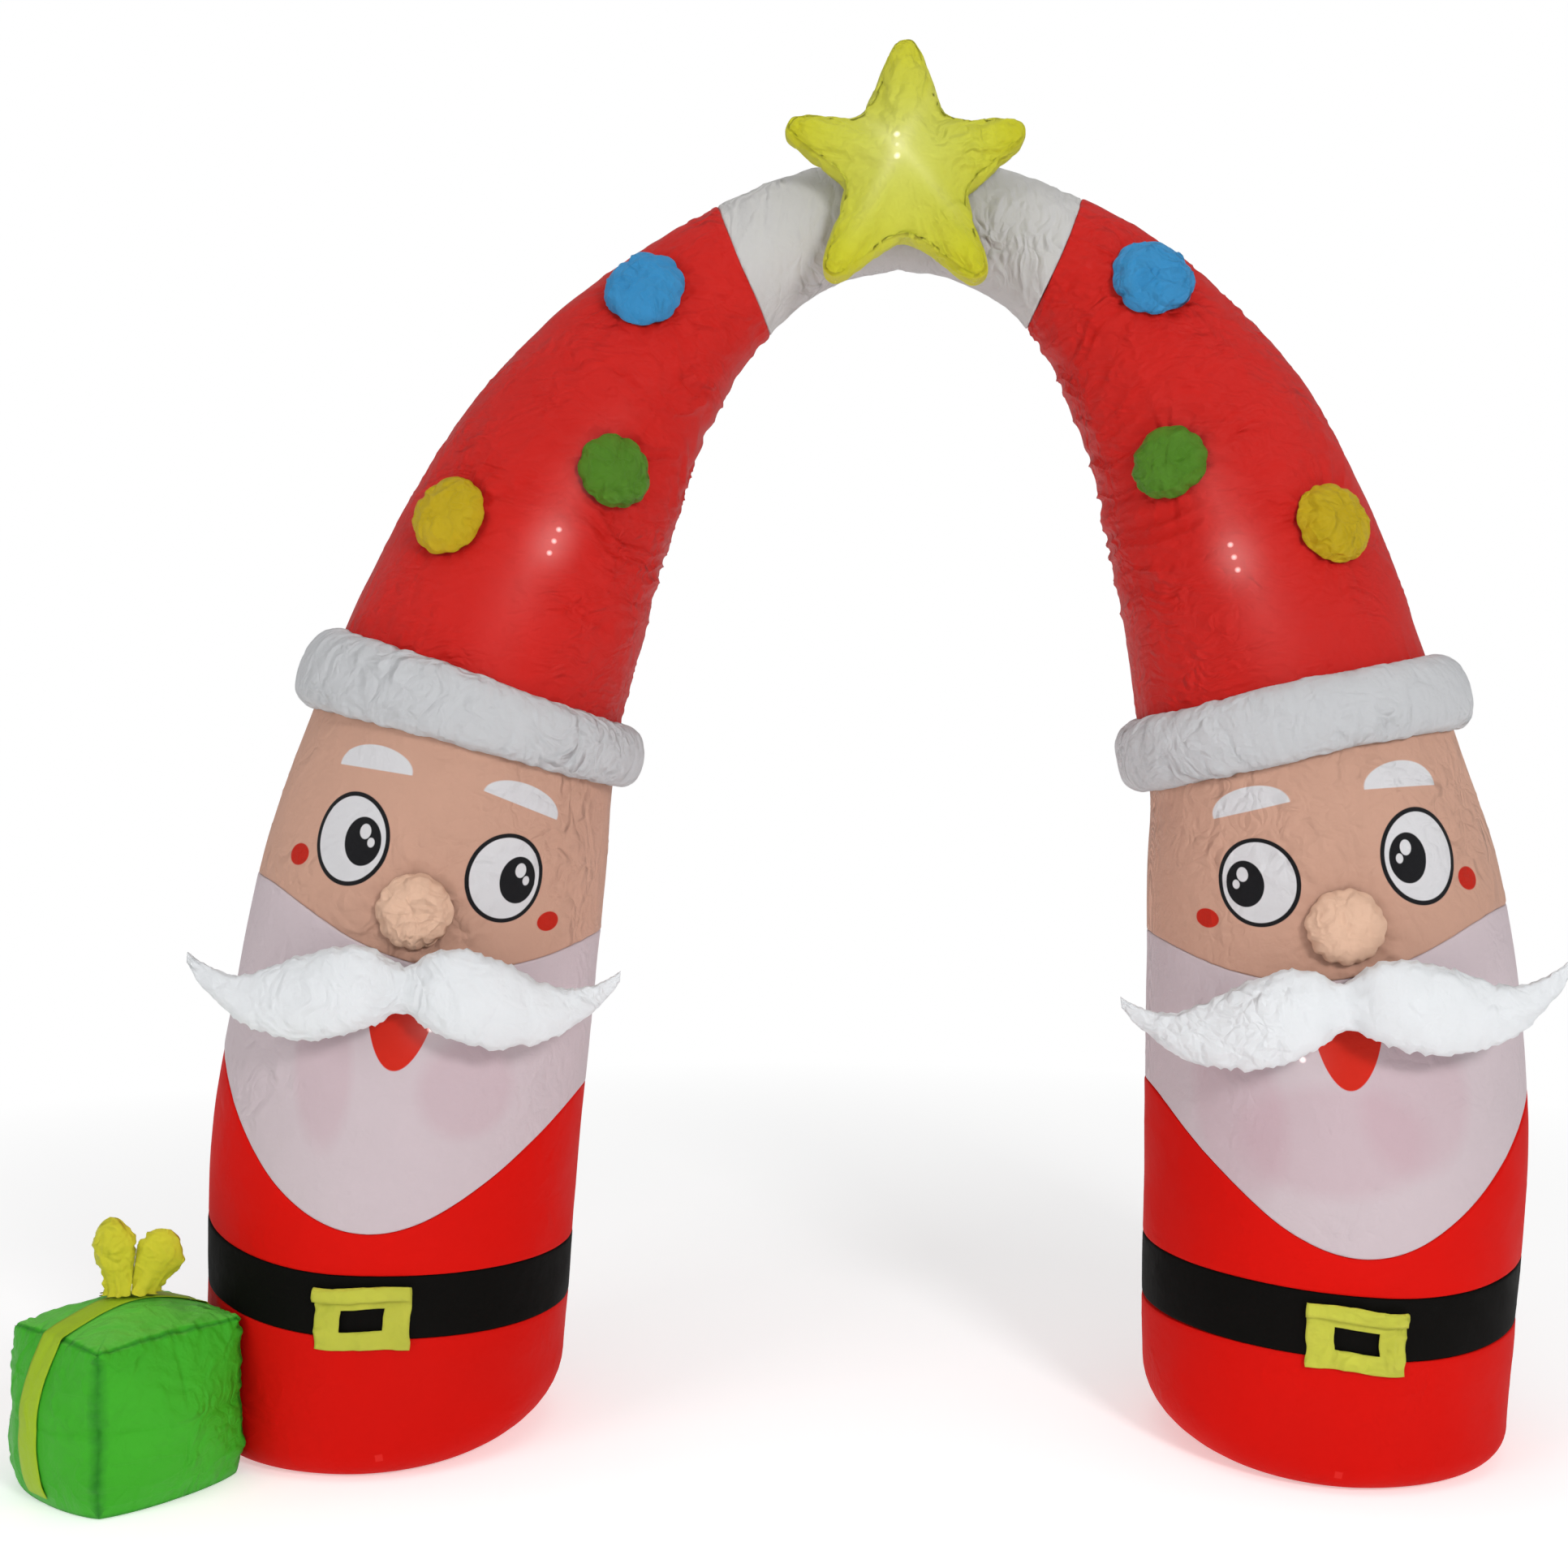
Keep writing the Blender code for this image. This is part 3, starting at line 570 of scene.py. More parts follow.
def face_relief(side, seed, s, psi, from_low, to_high, radius):
    at = local(side, s, psi, radius)
    out = 0.0020 * fbm(*cells(at, 0.15), seed, 2)
    some = smooth(fbm(*cells(at, 0.12), seed + 9), -0.25, 0.35)
    out += 0.0011 * crease(*cells(at, 0.045, 0.045, 0.030), seed + 3) * some
    out += 0.0006 * fbm(*cells(at, 0.022, 0.022, 0.014), seed + 4, 2) * some
    turn = math.degrees(FACE_TURN) - 1.0
    out += radial(side, s, psi, NOSE_AT - LOWER_BY[side], turn, NOSE_RADIUS, seed + 20, 0.0026, 0.060)
    out += puckers(side, psi, radius, to_high - 0.055, seed + 8, 0.0020, 0.026, 0.030)
    return out + puckers(side, psi, radius, from_low, seed + 12, 0.0012)


def hat_relief(side, seed, s, psi, from_low, to_high, radius):
    at = x, y, z = local(side, s, psi, radius)
    out = 0.0034 * fbm(*cells(at, 0.13, 0.13, 0.11), seed, 2)
    some = smooth(fbm(*cells(at, 0.14, 0.14, 0.10), seed + 9), -0.2, 0.35)
    out += 0.0013 * crease(*cells(at, 0.055, 0.055, 0.026), seed + 3) * some
    out += 0.0016 * pleat(*cells(at, 0.050, 0.050, 0.013), seed + 4) * some
    # folds across the inside of the bend
    bend = smooth(s, 1.40, 1.62) * (1 - 0.5 * smooth(s, 1.95, 2.15))
    inner = smooth(np.sin(psi - math.radians(4)), -0.15, 0.75)
    wander = 1.5 * noise(*cells(at, 0.09, 0.09, 0.2), seed + 31)
    out += 0.0058 * pleat(x / 0.16, y / 0.16, z / 0.026 + wander, seed + 30) * inner * bend
    # and down the middle of the front
    middle = np.exp(-(wrapped(psi - math.radians(8)) / 0.55) ** 2)
    middle = middle * smooth(s, 1.45, 1.6) * (1 - smooth(s, 1.85, 1.95))
    wander = noise(x / 0.05, y / 0.05, 2.0, seed + 33)
    out += 0.0038 * pleat(x / 0.07, y / 0.07, z / 0.020 + wander, seed + 32) * middle
    for k, (up, degrees) in enumerate(POMPOMS.values()):
        out += radial(side, s, psi, up - LOWER_BY[side] * POMPOM_LOWER, degrees, POMPOM_RADIUS,
                      seed + 40 + 3 * k, 0.0040, 0.060)
    out += puckers(side, psi, radius, from_low - 0.055, seed + 8, 0.0026, 0.028, 0.045)
    return out + puckers(side, psi, radius, to_high, seed + 12, 0.0022, 0.024, 0.040)


def base_round(psi):
    return 0.048 + 0.070 * np.maximum(0.0, np.sin(psi)) ** 2


def coat_lower(side, material, cols=180):
    psi = around(cols, 0.2)
    r = base_round(psi)
    high = seam(side, "belt_low", psi) - SEAM_GAP
    rings, places = [], []
    for step in range(12):
        turn = math.pi / 2 * step / 11
        height = r * (1 - math.cos(turn))
        p = on_tube(side, height, psi, -r * (1 - math.sin(turn)))
        p[:, 2] = height
        rings.append(p)
        places.append(height)
    rows = 30
    seed = 60 if side == "left" else 90
    for t in np.concatenate([np.arange(1, rows) / rows * 0.97, [0.985, 0.995, 1.0]]):
        s = r + (high - r) * t
        radius = frame_at(side, s)[3]
        grow = smooth(s - r, 0, 0.05)
        out = lip(high - s) + grow * coat_relief(side, seed, s, psi, s + 1, s * 0 + 1, radius)
        p = on_tube(side, s, psi, out)
        p[:, 2] = s + (p[:, 2] - s) * smooth(s - r, 0.0, 0.16)
        rings.append(p)
        places.append(s)
    rings.append(on_tube(side, high, psi, -TUCKED))
    places.append(high)
    rings, places = np.array(rings), np.array(places)
    uv = np.stack([np.broadcast_to(psi, places.shape) * frame_at(side, places)[3], places], -1)
    foot, top = frame_at(side, np.array(0.0))[0], frame_at(side, high.mean())[0]
    foot = np.array([foot[0], foot[1], 0.0])
    verts, faces, uv = closed(rings, foot, top, uv)
    return make(f"{side}_coat_lower_cloth", verts, faces, material, uv)


def top_section(material, cols=200, rows=56):
    psi = around(cols, 0.15)
    rings, uvs = [], []
    for side, order in (("left", range(rows)), ("right", range(rows - 2, -1, -1))):
        start = seam(side, "hat_end", psi) + SEAM_GAP
        for i in order:
            t = (i / (rows - 1)) ** 1.15
            s = start + (LENGTH[side] - start) * t
            p = on_tube(side, s, psi, 0.0)
            radius = frame_at(side, s)[3]
            x, y, z = p[:, 0], p[:, 1], p[:, 2]
            some = smooth(fbm(x / 0.13, y / 0.13, z / 0.13, 209), -0.3, 0.2)
            out = 0.0028 * fbm(x / 0.11, y / 0.11, z / 0.11, 200, 2)
            out += 0.0014 * crease(x / 0.028, y / 0.12, z / 0.12, 203) * some
            out += 0.0012 * pleat(x / 0.016, y / 0.04, z / 0.04, 204) * some
            out += lip(s - start)
            out += puckers(side, psi, radius, s - start, 212, 0.0015, 0.022, 0.035)
            near = np.exp(-((x - STAR_X) / 0.21) ** 6)
            ripple = noise(x / 0.022 + noise(y / 0.09, z / 0.09, 0.0, 221), y / 0.16, z / 0.16, 220)
            out += 0.0022 * ripple * (1 - near) * np.exp(-((np.abs(x - STAR_X) - 0.235) / 0.045) ** 2)
            if i == 0:
                out -= SEAM_SINK
            rings.append(on_tube(side, s, psi, out))
            uvs.append(np.stack([psi * radius, s if side == "left" else 2 * LENGTH["left"] - s], -1))
    verts, faces, uv = closed(np.array(rings), frame_at("left", np.array(start.mean()))[0],
                              frame_at("right", np.array(start.mean()))[0], np.array(uvs))
    return make("top_section_cloth", verts, faces, material, uv)


# ---- sewn-on pieces -----------------------------------------------------
def cuff(side, material, seed, cols=380, rows=52):
    psi = around(cols, 0.35)
    phi = np.linspace(0, math.pi, rows)
    centre_s = seam(side, "hat_low", psi)
    radius = frame_at(side, centre_s)[3]
    x, y = np.cos(psi) * radius, np.sin(psi) * radius
    v = 0.535 * np.sign(np.cos(phi)) * np.abs(np.cos(phi)) ** 0.92
    w = np.sin(phi) ** 0.70
    v, w, phi_at = v[:, None], w[:, None], phi[:, None]
    hug = (np.abs(np.cos(phi)) ** 2)[:, None]
    fold = pleat(x[None] / 0.018, y[None] / 0.018, phi_at * 0.45, seed)
    fold = fold + 0.7 * pleat(x[None] / 0.010, y[None] / 0.010, phi_at * 0.8, seed + 1)
    broad = fbm(x[None] / 0.07, y[None] / 0.07, phi_at * 1.3, seed + 2, 2)
    fine = crease(x[None] / 0.030, y[None] / 0.030, phi_at * 1.1, seed + 4)
    out = CUFF_OUT * w + 0.0030 * fold * hug * np.sin(phi)[:, None] ** 0.35
    out = out + 0.0018 * broad * w - 0.0016 * fine * w + 0.0006 * fold * w
    edge = 0.0022 * noise(x[None] / 0.016, y[None] / 0.016, 0.0 * phi_at, seed + 7)
    s = centre_s[None] + CUFF_HIGH * v + edge * np.sign(v) * hug
    top = on_tube(side, s, psi[None] + 0 * s, SKIN + np.maximum(out, 0.0003))
    flat = []
    for t in np.linspace(-0.5, 0.5, 6):
        flat.append(on_tube(side, centre_s + CUFF_HIGH * t, psi, SKIN))
    rings = np.concatenate([top, np.array(flat)])
    arc = np.concatenate([phi * 0.06, 0.19 + np.linspace(0, 0.116, 6)])
    uv = np.stack(np.broadcast_arrays(psi[None] * radius[None], arc[:, None]), -1)
    verts = rings.reshape(-1, 3)
    made = make(f"{side}_cuff_cloth", verts, grid(len(rings), cols, True), material,
                uv.reshape(-1, 2))
    held = np.zeros((len(rings), cols))
    held[[0, rows - 1]] = 1.0
    held[rows:] = 1.0
    return relax(made, held.ravel(), 0.030, 2.5, 0.004)


def puff(side, name, s0, turn, size, out, material, seed, gathers=11, deep=0.28, cols=128, rows=38):
    """Gathered disc: its rim is drawn in by stitches, so folds run in from the rim."""
    rng = np.random.default_rng(seed)
    radius0 = float(frame_at(side, np.array(s0))[3])
    a = TAU * np.arange(cols) / cols
    place = TAU * (np.arange(gathers) + rng.uniform(-0.28, 0.28, gathers)) / gathers
    depth = rng.uniform(0.45, 1.0, gathers)
    width = rng.uniform(0.10, 0.19, gathers)
    reach = rng.uniform(0.30, 0.72, gathers)
    t = np.linspace(0, 1, rows)
    rho = np.sin(t * math.pi / 2) ** 0.9
    height = (1 - rho ** 2.6) ** 0.60
    valley = np.zeros((rows, cols))
    for p, d, w, r in zip(place, depth, width, reach):
        bend = 0.12 * np.sin(3.0 * rho[:, None] + p * 5)
        gap = wrapped(a[None] - p + bend * (1 - rho[:, None]))
        fall = np.exp(-(gap / (w * (0.5 + 0.5 * rho[:, None]))) ** 2)
        valley += d * fall * smooth(rho[:, None], 1 - r, 1.0)
    x, y = rho[:, None] * np.cos(a), rho[:, None] * np.sin(a)
    facet = crease(x * 2.4, y * 2.4, 0.0, seed + 2, 1.6) + 0.7 * crease(x * 4.5, y * 4.5, 3.0, seed + 3, 2.0)
    lift = height[:, None] * (1 + 0.10 * fbm(x * 2.0, y * 2.0, 0.0, seed, 2))
    lift = lift * (1 - deep * np.clip(valley, 0, 1.2) * np.minimum(1, 2.2 * rho[:, None]))
    lift = lift * out + 0.015 * deep * (facet - 0.5) * height[:, None] ** 0.4
    share = rho[:, None] * (1 + 0.055 * (1 - 1.3 * np.clip(valley, 0, 1)) * smooth(rho[:, None], 0.4, 1))

    def surface(share, angle, high):
        rim = size * share
        return on_tube(side, s0 + rim * np.sin(angle), turn + rim * np.cos(angle) / radius0, high)

    top = surface(share, a[None] + 0 * share, SKIN + np.maximum(lift, 0.0004))
    under = [surface(np.full(cols, q) * 0.985, a, np.full(cols, SKIN)) for q in (0.93, 0.7, 0.4)]
    rings = np.concatenate([top[1:], np.array(under)])
    uv = np.stack(np.broadcast_arrays(np.zeros((len(rings), 1)), a[None]), -1)
    first, last = top[0].mean(0), on_tube(side, np.array(s0), np.array(turn), np.array(SKIN))
    verts, faces, uv = closed(rings, first, last, uv)
    made = make(f"{side}_{name}_cloth", verts, faces, material, uv)
    held = np.zeros((len(rings), cols))
    held[rows - 2:] = 1.0
    return relax(made, np.concatenate([held.ravel(), [0, 1]]), 0.045, 2.0, 0.004)


MOUSTACHE = [
    (0.000, 0.002, 0.036, 0.026, 0.031), (0.025, 0.004, 0.049, 0.034, 0.038),
    (0.055, 0.003, 0.065, 0.044, 0.045), (0.090, -0.003, 0.073, 0.049, 0.045),
    (0.130, -0.012, 0.073, 0.049, 0.040), (0.170, -0.019, 0.065, 0.044, 0.031),
    (0.210, -0.026, 0.052, 0.037, 0.022), (0.250, -0.025, 0.039, 0.029, 0.013),
    (0.285, -0.013, 0.027, 0.021, 0.004), (0.320, 0.010, 0.017, 0.012, -0.006),
    (0.343, 0.033, 0.009, 0.006, -0.011),
]


def moustache(side, material, seed, cols=72, rows=150):
    s = MOUSTACHE_AT - LOWER_BY[side]
    centre, _, inner, radius = (np.asarray(q) for q in frame_at(side, np.array(s)))
    turn = FACE_TURN + (math.radians(1.5) if side == "right" else 0.0)
    out = FRONT * math.cos(turn) + inner * math.sin(turn)
    flat = inner * math.cos(turn) - FRONT * math.sin(turn)
    flat = np.array([flat[0], flat[1], 0.0]) / math.hypot(flat[0], flat[1])
    tilt = -MOUSTACHE_TILT[side]
    across = flat * math.cos(tilt) + UP * math.sin(tilt)
    rise = UP * math.cos(tilt) - flat * math.sin(tilt)
    root = centre + out * float(radius)
    table = np.array([(-r[0],) + r[1:] for r in reversed(MOUSTACHE[1:])] + MOUSTACHE)
    fine = spline(table[:, [0, 1, 2]], 24)[:, 1:]
    more = spline(np.column_stack([table[:, 0], table[:, 3], table[:, 4]]), 24)[:, 1:]
    even = np.linspace(-1, 1, rows)          # from tip to tip, closer together at the tips
    u = 0.5 * (MOUSTACHE_HALF * np.sin(even * math.pi / 2)) + 0.5 * np.linspace(
        -MOUSTACHE_HALF, MOUSTACHE_HALF, rows)
    v, high = np.interp(u, fine[:, 0], fine[:, 1]), np.interp(u, fine[:, 0], fine[:, 2])
    deep, off = np.interp(u, more[:, 0], more[:, 1]), np.interp(u, more[:, 0], more[:, 2])
    a = TAU * np.arange(cols) / cols
    ca, sa = np.cos(a), np.sin(a)
    big = np.minimum(1, high / 0.05)[:, None]
    pinch = np.exp(-np.abs(u) / 0.035)[:, None]
    fold = pleat(u[:, None] / 0.016, ca * 0.7 + 3, sa * 0.7, seed) * np.abs(ca) ** 2
    fold = fold + 0.6 * pleat(u[:, None] / 0.009, ca + 3, sa, seed + 1) * np.abs(ca) ** 4
    puff_noise = fbm(u[:, None] / 0.05, ca * 1.0, sa * 1.0, seed + 2, 2)
    lines = crease(u[:, None] / 0.05, ca * 1.5, sa * 1.5, seed + 3, 2.0)
    gather = noise(a * 2.6 + 0 * u[:, None], np.abs(u)[:, None] / 0.09, (u > 0)[:, None] * 4.0, seed + 4)
    bulge = 1 + 0.025 * puff_noise * big - 0.030 * lines * big * (1 - pinch) + 0.07 * gather * pinch
    vv = v[:, None] + (high[:, None] * bulge * ca) + 0.0030 * fold * big * np.sign(ca)
    ww = off[:, None] + (deep[:, None] * bulge * np.sign(sa) * np.abs(sa) ** 0.86) + 0.0024 * fold * big * sa
    ww = np.maximum(ww, off[:, None] - deep[:, None]) + SKIN
    rings = root + across * (u[:, None] + 0 * vv)[..., None] + rise * vv[..., None] + out * ww[..., None]
    uv = np.stack(np.broadcast_arrays(u[:, None], a[None] * 0.05), -1)
    verts, faces, uv = closed(rings, rings[0].mean(0), rings[-1].mean(0), uv)
    made = make(f"{side}_moustache_cloth", verts, faces, material, uv)
    held = np.zeros((rows, cols))
    held[:, [0, cols // 2]] = 1.0
    held[np.abs(u) < 0.004] = 1.0
    held[:, sa < -0.3] = 1.0
    return relax(made, np.concatenate([held.ravel(), [1, 1]]), 0.025, 1.5, 0.004)


def sheet_piece(name, low, high, faces, material, replaces):
    """Two layers of points and the rim between them."""
    n = len(low)
    faces = np.asarray(faces)
    edges = {}
    for f in faces:
        for p, q in zip(f, np.roll(f, -1)):
            if (q, p) in edges:
                del edges[(q, p)]
            else:
                edges[(p, q)] = True
    rim = np.array([(q, p, p + n, q + n) for p, q in edges])
    everything = np.vstack([faces, faces[:, ::-1] + n, rim])
    made = make(name, np.vstack([low, high]), everything, material, replaces=replaces)
    return made


def buckle(side, material, seed):
    s0 = 0.5 * float(seam(side, "belt_low", np.array(0.0)) + seam(side, "belt_high", np.array(0.0))) - 0.019
    turn = FACE_TURN - math.radians(3.2)
    radius = float(frame_at(side, np.array(s0))[3])
    hole_wide, hole_high = BUCKLE_HOLE
    wide, high = 0.5 * BUCKLE_WIDE, 0.5 * BUCKLE_HIGH
    in_wide, in_high = 0.5 * hole_wide, 0.5 * hole_high
    us = np.concatenate([np.linspace(-wide, -in_wide, 12), np.linspace(-in_wide, in_wide, 17)[1:],
                         np.linspace(in_wide, wide, 12)[1:]])
    vs = np.concatenate([np.linspace(-high, -in_high, 10), np.linspace(-in_high, in_high, 10)[1:],
                         np.linspace(in_high, high, 10)[1:]])
    rows = [(v, 0.0) for v in vs] + [(0.0515, 0.0018), (0.0525, 0.0042), (0.0518, 0.0066), (0.049, 0.0080),
                                     (0.044, 0.0086), (0.037, 0.0088), (0.0305, 0.0086)]
    V, W = np.array(rows).T
    U, VV = np.meshgrid(us, V)
    _, WW = np.meshgrid(us, W)
    # limp edge and crumples
    wob = 0.0022 * noise(U / 0.035, VV / 0.035, WW * 200, seed)
    wob = wob + 0.0012 * noise(U / 0.014, VV / 0.014, WW * 200, seed + 1)
    folds = 0.0036 * crease(U / 0.034, VV / 0.026, WW * 60, seed + 2, 1.3)
    rim = np.maximum(np.abs(U) / wide, np.abs(VV) / 0.05)
    lift = 0.0022 + np.abs(wob) + folds + WW
    s = s0 + VV + 0.003 * np.sin(30 * U) + 0.002 * noise(U / 0.03, VV * 0, 4.0, seed + 3) * (rim > 0.8)
    x = U + 0.0018 * noise(VV / 0.02, WW * 100, 7.0, seed + 4)
    low = on_tube(side, s, turn + x / radius, lift)
    high = on_tube(side, s, turn + x / radius, lift + CLOTH_THICK)
    r, c = U.shape
    faces = []
    for j in range(r - 1):
        for i in range(c - 1):
            if 9 <= j < 18 and 11 <= i < 27:
                continue
            faces.append((j * c + i, j * c + i + 1, (j + 1) * c + i + 1, (j + 1) * c + i))
    return sheet_piece(f"{side}_buckle_cloth", low.reshape(-1, 3), high.reshape(-1, 3), faces, material,
                       f"{side}_buckle")


# ---- the star -----------------------------------------------------------
def star_outline(per):
    # the cut is a little rounder than its pattern: the points draw in
    pull = [(1.0 if r < NOTCH_BELOW else 0.925 if 200 < a < 330 else 0.955) for a, r in STAR_CORNERS]
    corners = np.array([(k * r * math.cos(math.radians(a)), k * r * math.sin(math.radians(a)))
                        for k, (a, r) in zip(pull, STAR_CORNERS)])
    after = np.roll(corners, -1, 0)
    line = np.concatenate([a + (b - a) * (np.arange(per) / per)[:, None] for a, b in zip(corners, after)])
    for _ in range(int(1.3 * (per / 4) ** 2)):
        line = 0.25 * np.roll(line, 1, 0) + 0.5 * line + 0.25 * np.roll(line, -1, 0)
    return line


def edge_distance(p, outline):
    a, b = outline, np.roll(outline, -1, 0)
    d = b - a
    t = np.clip(((p[:, None] - a) * d).sum(-1) / (d * d).sum(-1), 0, 1)
    return np.sqrt((((p[:, None] - a - t[..., None] * d)) ** 2).sum(-1).min(1))


def star(material):
    outline = star_outline(24)
    cols = len(outline)
    coarse = star_outline(6)
    middle = np.array([STAR_X, ARCH_Y, 0.0]) + UP * STAR_Z + FRONT * STAR_BACK
    tangent = np.roll(outline, -1, 0) - np.roll(outline, 1, 0)
    normal = np.stack([tangent[:, 1], -tangent[:, 0]], 1)
    normal /= np.linalg.norm(normal, axis=1)[:, None]
    arc = np.concatenate([[0], np.cumsum(np.linalg.norm(np.diff(outline, axis=0), axis=1))])
    turn = TAU * arc / (arc[-1] + np.linalg.norm(outline[0] - outline[-1]))
    angle = np.arctan2(outline[:, 1], outline[:, 0])
    notch = np.zeros(cols)
    for a, r in STAR_CORNERS:
        if r < NOTCH_BELOW:
            notch = np.maximum(notch, np.exp(-(wrapped(angle - math.radians(a)) / 0.16) ** 2))
    total = arc[-1]

    def along(pitch, seed, extra=0.0):
        k = total / (TAU * pitch)
        return noise(np.cos(turn) * k, np.sin(turn) * k, extra, seed)

    gather = along(0.013, 301) + 0.7 * along(0.007, 302)
    rings, uvs = [], []

    def push(xy, w):
        rings.append(middle + ALONG * xy[:, :1] + UP * xy[:, 1:] + FRONT * w[:, None])
        uvs.append(xy.copy())

    for t in np.linspace(0.15, 0.97, 12):   # back
        xy = outline * t
        d = np.minimum(edge_distance(xy, coarse), CROWN_REACH)
        push(xy, -0.10 * np.sqrt(d * (2 * CROWN_REACH - d)))
    side_bow = 0.005 + 0.002 * along(0.05, 305)
    for q in np.linspace(0, 1, 11):         # gusset
        bow = side_bow * math.sin(math.pi * q) ** 0.6
        fold = along(0.014, 306, q * 0.6) + 0.8 * along(0.03, 307, q * 1.2)
        fold = 0.0018 * fold * (0.35 + abs(2 * q - 1))
        sunk = -0.005 * notch * math.sin(math.pi * q) - (0.0036 if q in (0, 1) else 0.0)
        push(outline + normal * (bow + fold + sunk)[:, None], np.full(cols, STAR_SIDE * q))
    depth = np.concatenate([[0.0015, 0.004, 0.008], np.linspace(0.014, 0.5, 40), np.linspace(0.52, 0.97, 16)])
    for share in depth:                     # front, from the seam to the middle
        t = 1 - share
        xy = outline * t
        d = edge_distance(xy, coarse)
        dc = np.minimum(d, CROWN_REACH)
        crown = 0.050 * np.sin(0.5 * math.pi * dc / CROWN_REACH) ** 0.92 - 0.0024 * np.exp(-(d / 0.0036) ** 2)
        blend = 1 - smooth(share, 0.25, 0.9)
        fold = 0.0034 * gather * np.exp(-d / 0.016) * blend
        fold = fold + 0.0016 * along(0.03, 309, 0.4) * np.exp(-d / 0.04) * blend
        crumple = 0.0011 * crease(xy[:, 0] / 0.035, xy[:, 1] / 0.035, 0.0, 311, 1.6)
        crumple = crumple + 0.0006 * fbm(xy[:, 0] / 0.012, xy[:, 1] / 0.012, 0.0, 312, 2)
        tight = -0.004 * notch * smooth(share, 0.0, 0.05) * np.exp(-share / 0.16)
        push(xy, STAR_SIDE + crown + fold + crumple * smooth(d, 0, 0.02) + tight + 0.0018 * fbm(
            xy[:, 0] / 0.08, xy[:, 1] / 0.08, 0.0, 313, 1) * smooth(d, 0, 0.03))
    rings = np.array(rings)
    verts, faces, uv = closed(rings, rings[0].mean(0), rings[-1].mean(0), np.array(uvs))
    made = make("star_cloth", verts, faces, material, uv)
    held = np.zeros((len(rings), cols))
    held[[11, 12, 22, 23]] = 1.0
    held = np.concatenate([held.ravel(), [0, 0]])
    return relax(made, held, 0.022, 3.0, 0.007)


# ---- the present --------------------------------------------------------
BOX_U = np.array([math.cos(BOX_TURN), math.sin(BOX_TURN), 0.0])
BOX_V = np.array([-math.sin(BOX_TURN), math.cos(BOX_TURN), 0.0])


def clear_of_leg(p, gap):
    centre, _, _, radius = frame_at("left", np.maximum(p[..., 2], 0.0))
    away = p - centre
    away[..., 2] = 0.0
    far = np.linalg.norm(away, axis=-1)
    near = far < radius + gap
    pushed = centre + away / far[..., None] * (radius + gap)[..., None]
    pushed[..., 2] = p[..., 2]
    return np.where(near[..., None], pushed, p)


def box_point(a, b, c):
    def bow(p, q):
        return np.cos(0.5 * math.pi * p) * np.cos(np.where(q > 0, 0.5, 0.38) * math.pi * q)

    draw = np.where(c > 0, 0.05, 0.05 + 0.04 * c) * (1 - np.abs(a * b * c) ** 0.5)
    half = BOX_HALF * (1 - draw) * (1.0 + 0.02 * np.maximum(0.0, -c))
    x = a * half + BOX_CROWN * bow(b, c) * a ** 3
    y = b * half + BOX_CROWN * bow(a, c) * b ** 3
    z = 0.5 * BOX_HIGH * (1 + c) + 0.75 * BOX_CROWN * bow(a, np.abs(b)) * np.maximum(0.0, c) ** 3
    draw_in = 0.05 + 0.05 * np.abs(a * b) ** 4
    tuck = np.where(z < 0.05, 1 - draw_in * (1 - np.minimum(z, 0.05) / 0.05) ** 2, 1.0)
    flat = BOX_U * (x * tuck)[..., None], BOX_V * (y * tuck)[..., None]
    return np.array([BOX_AT[0], BOX_AT[1], 0.0]) + flat[0] + flat[1] + UP * z[..., None]


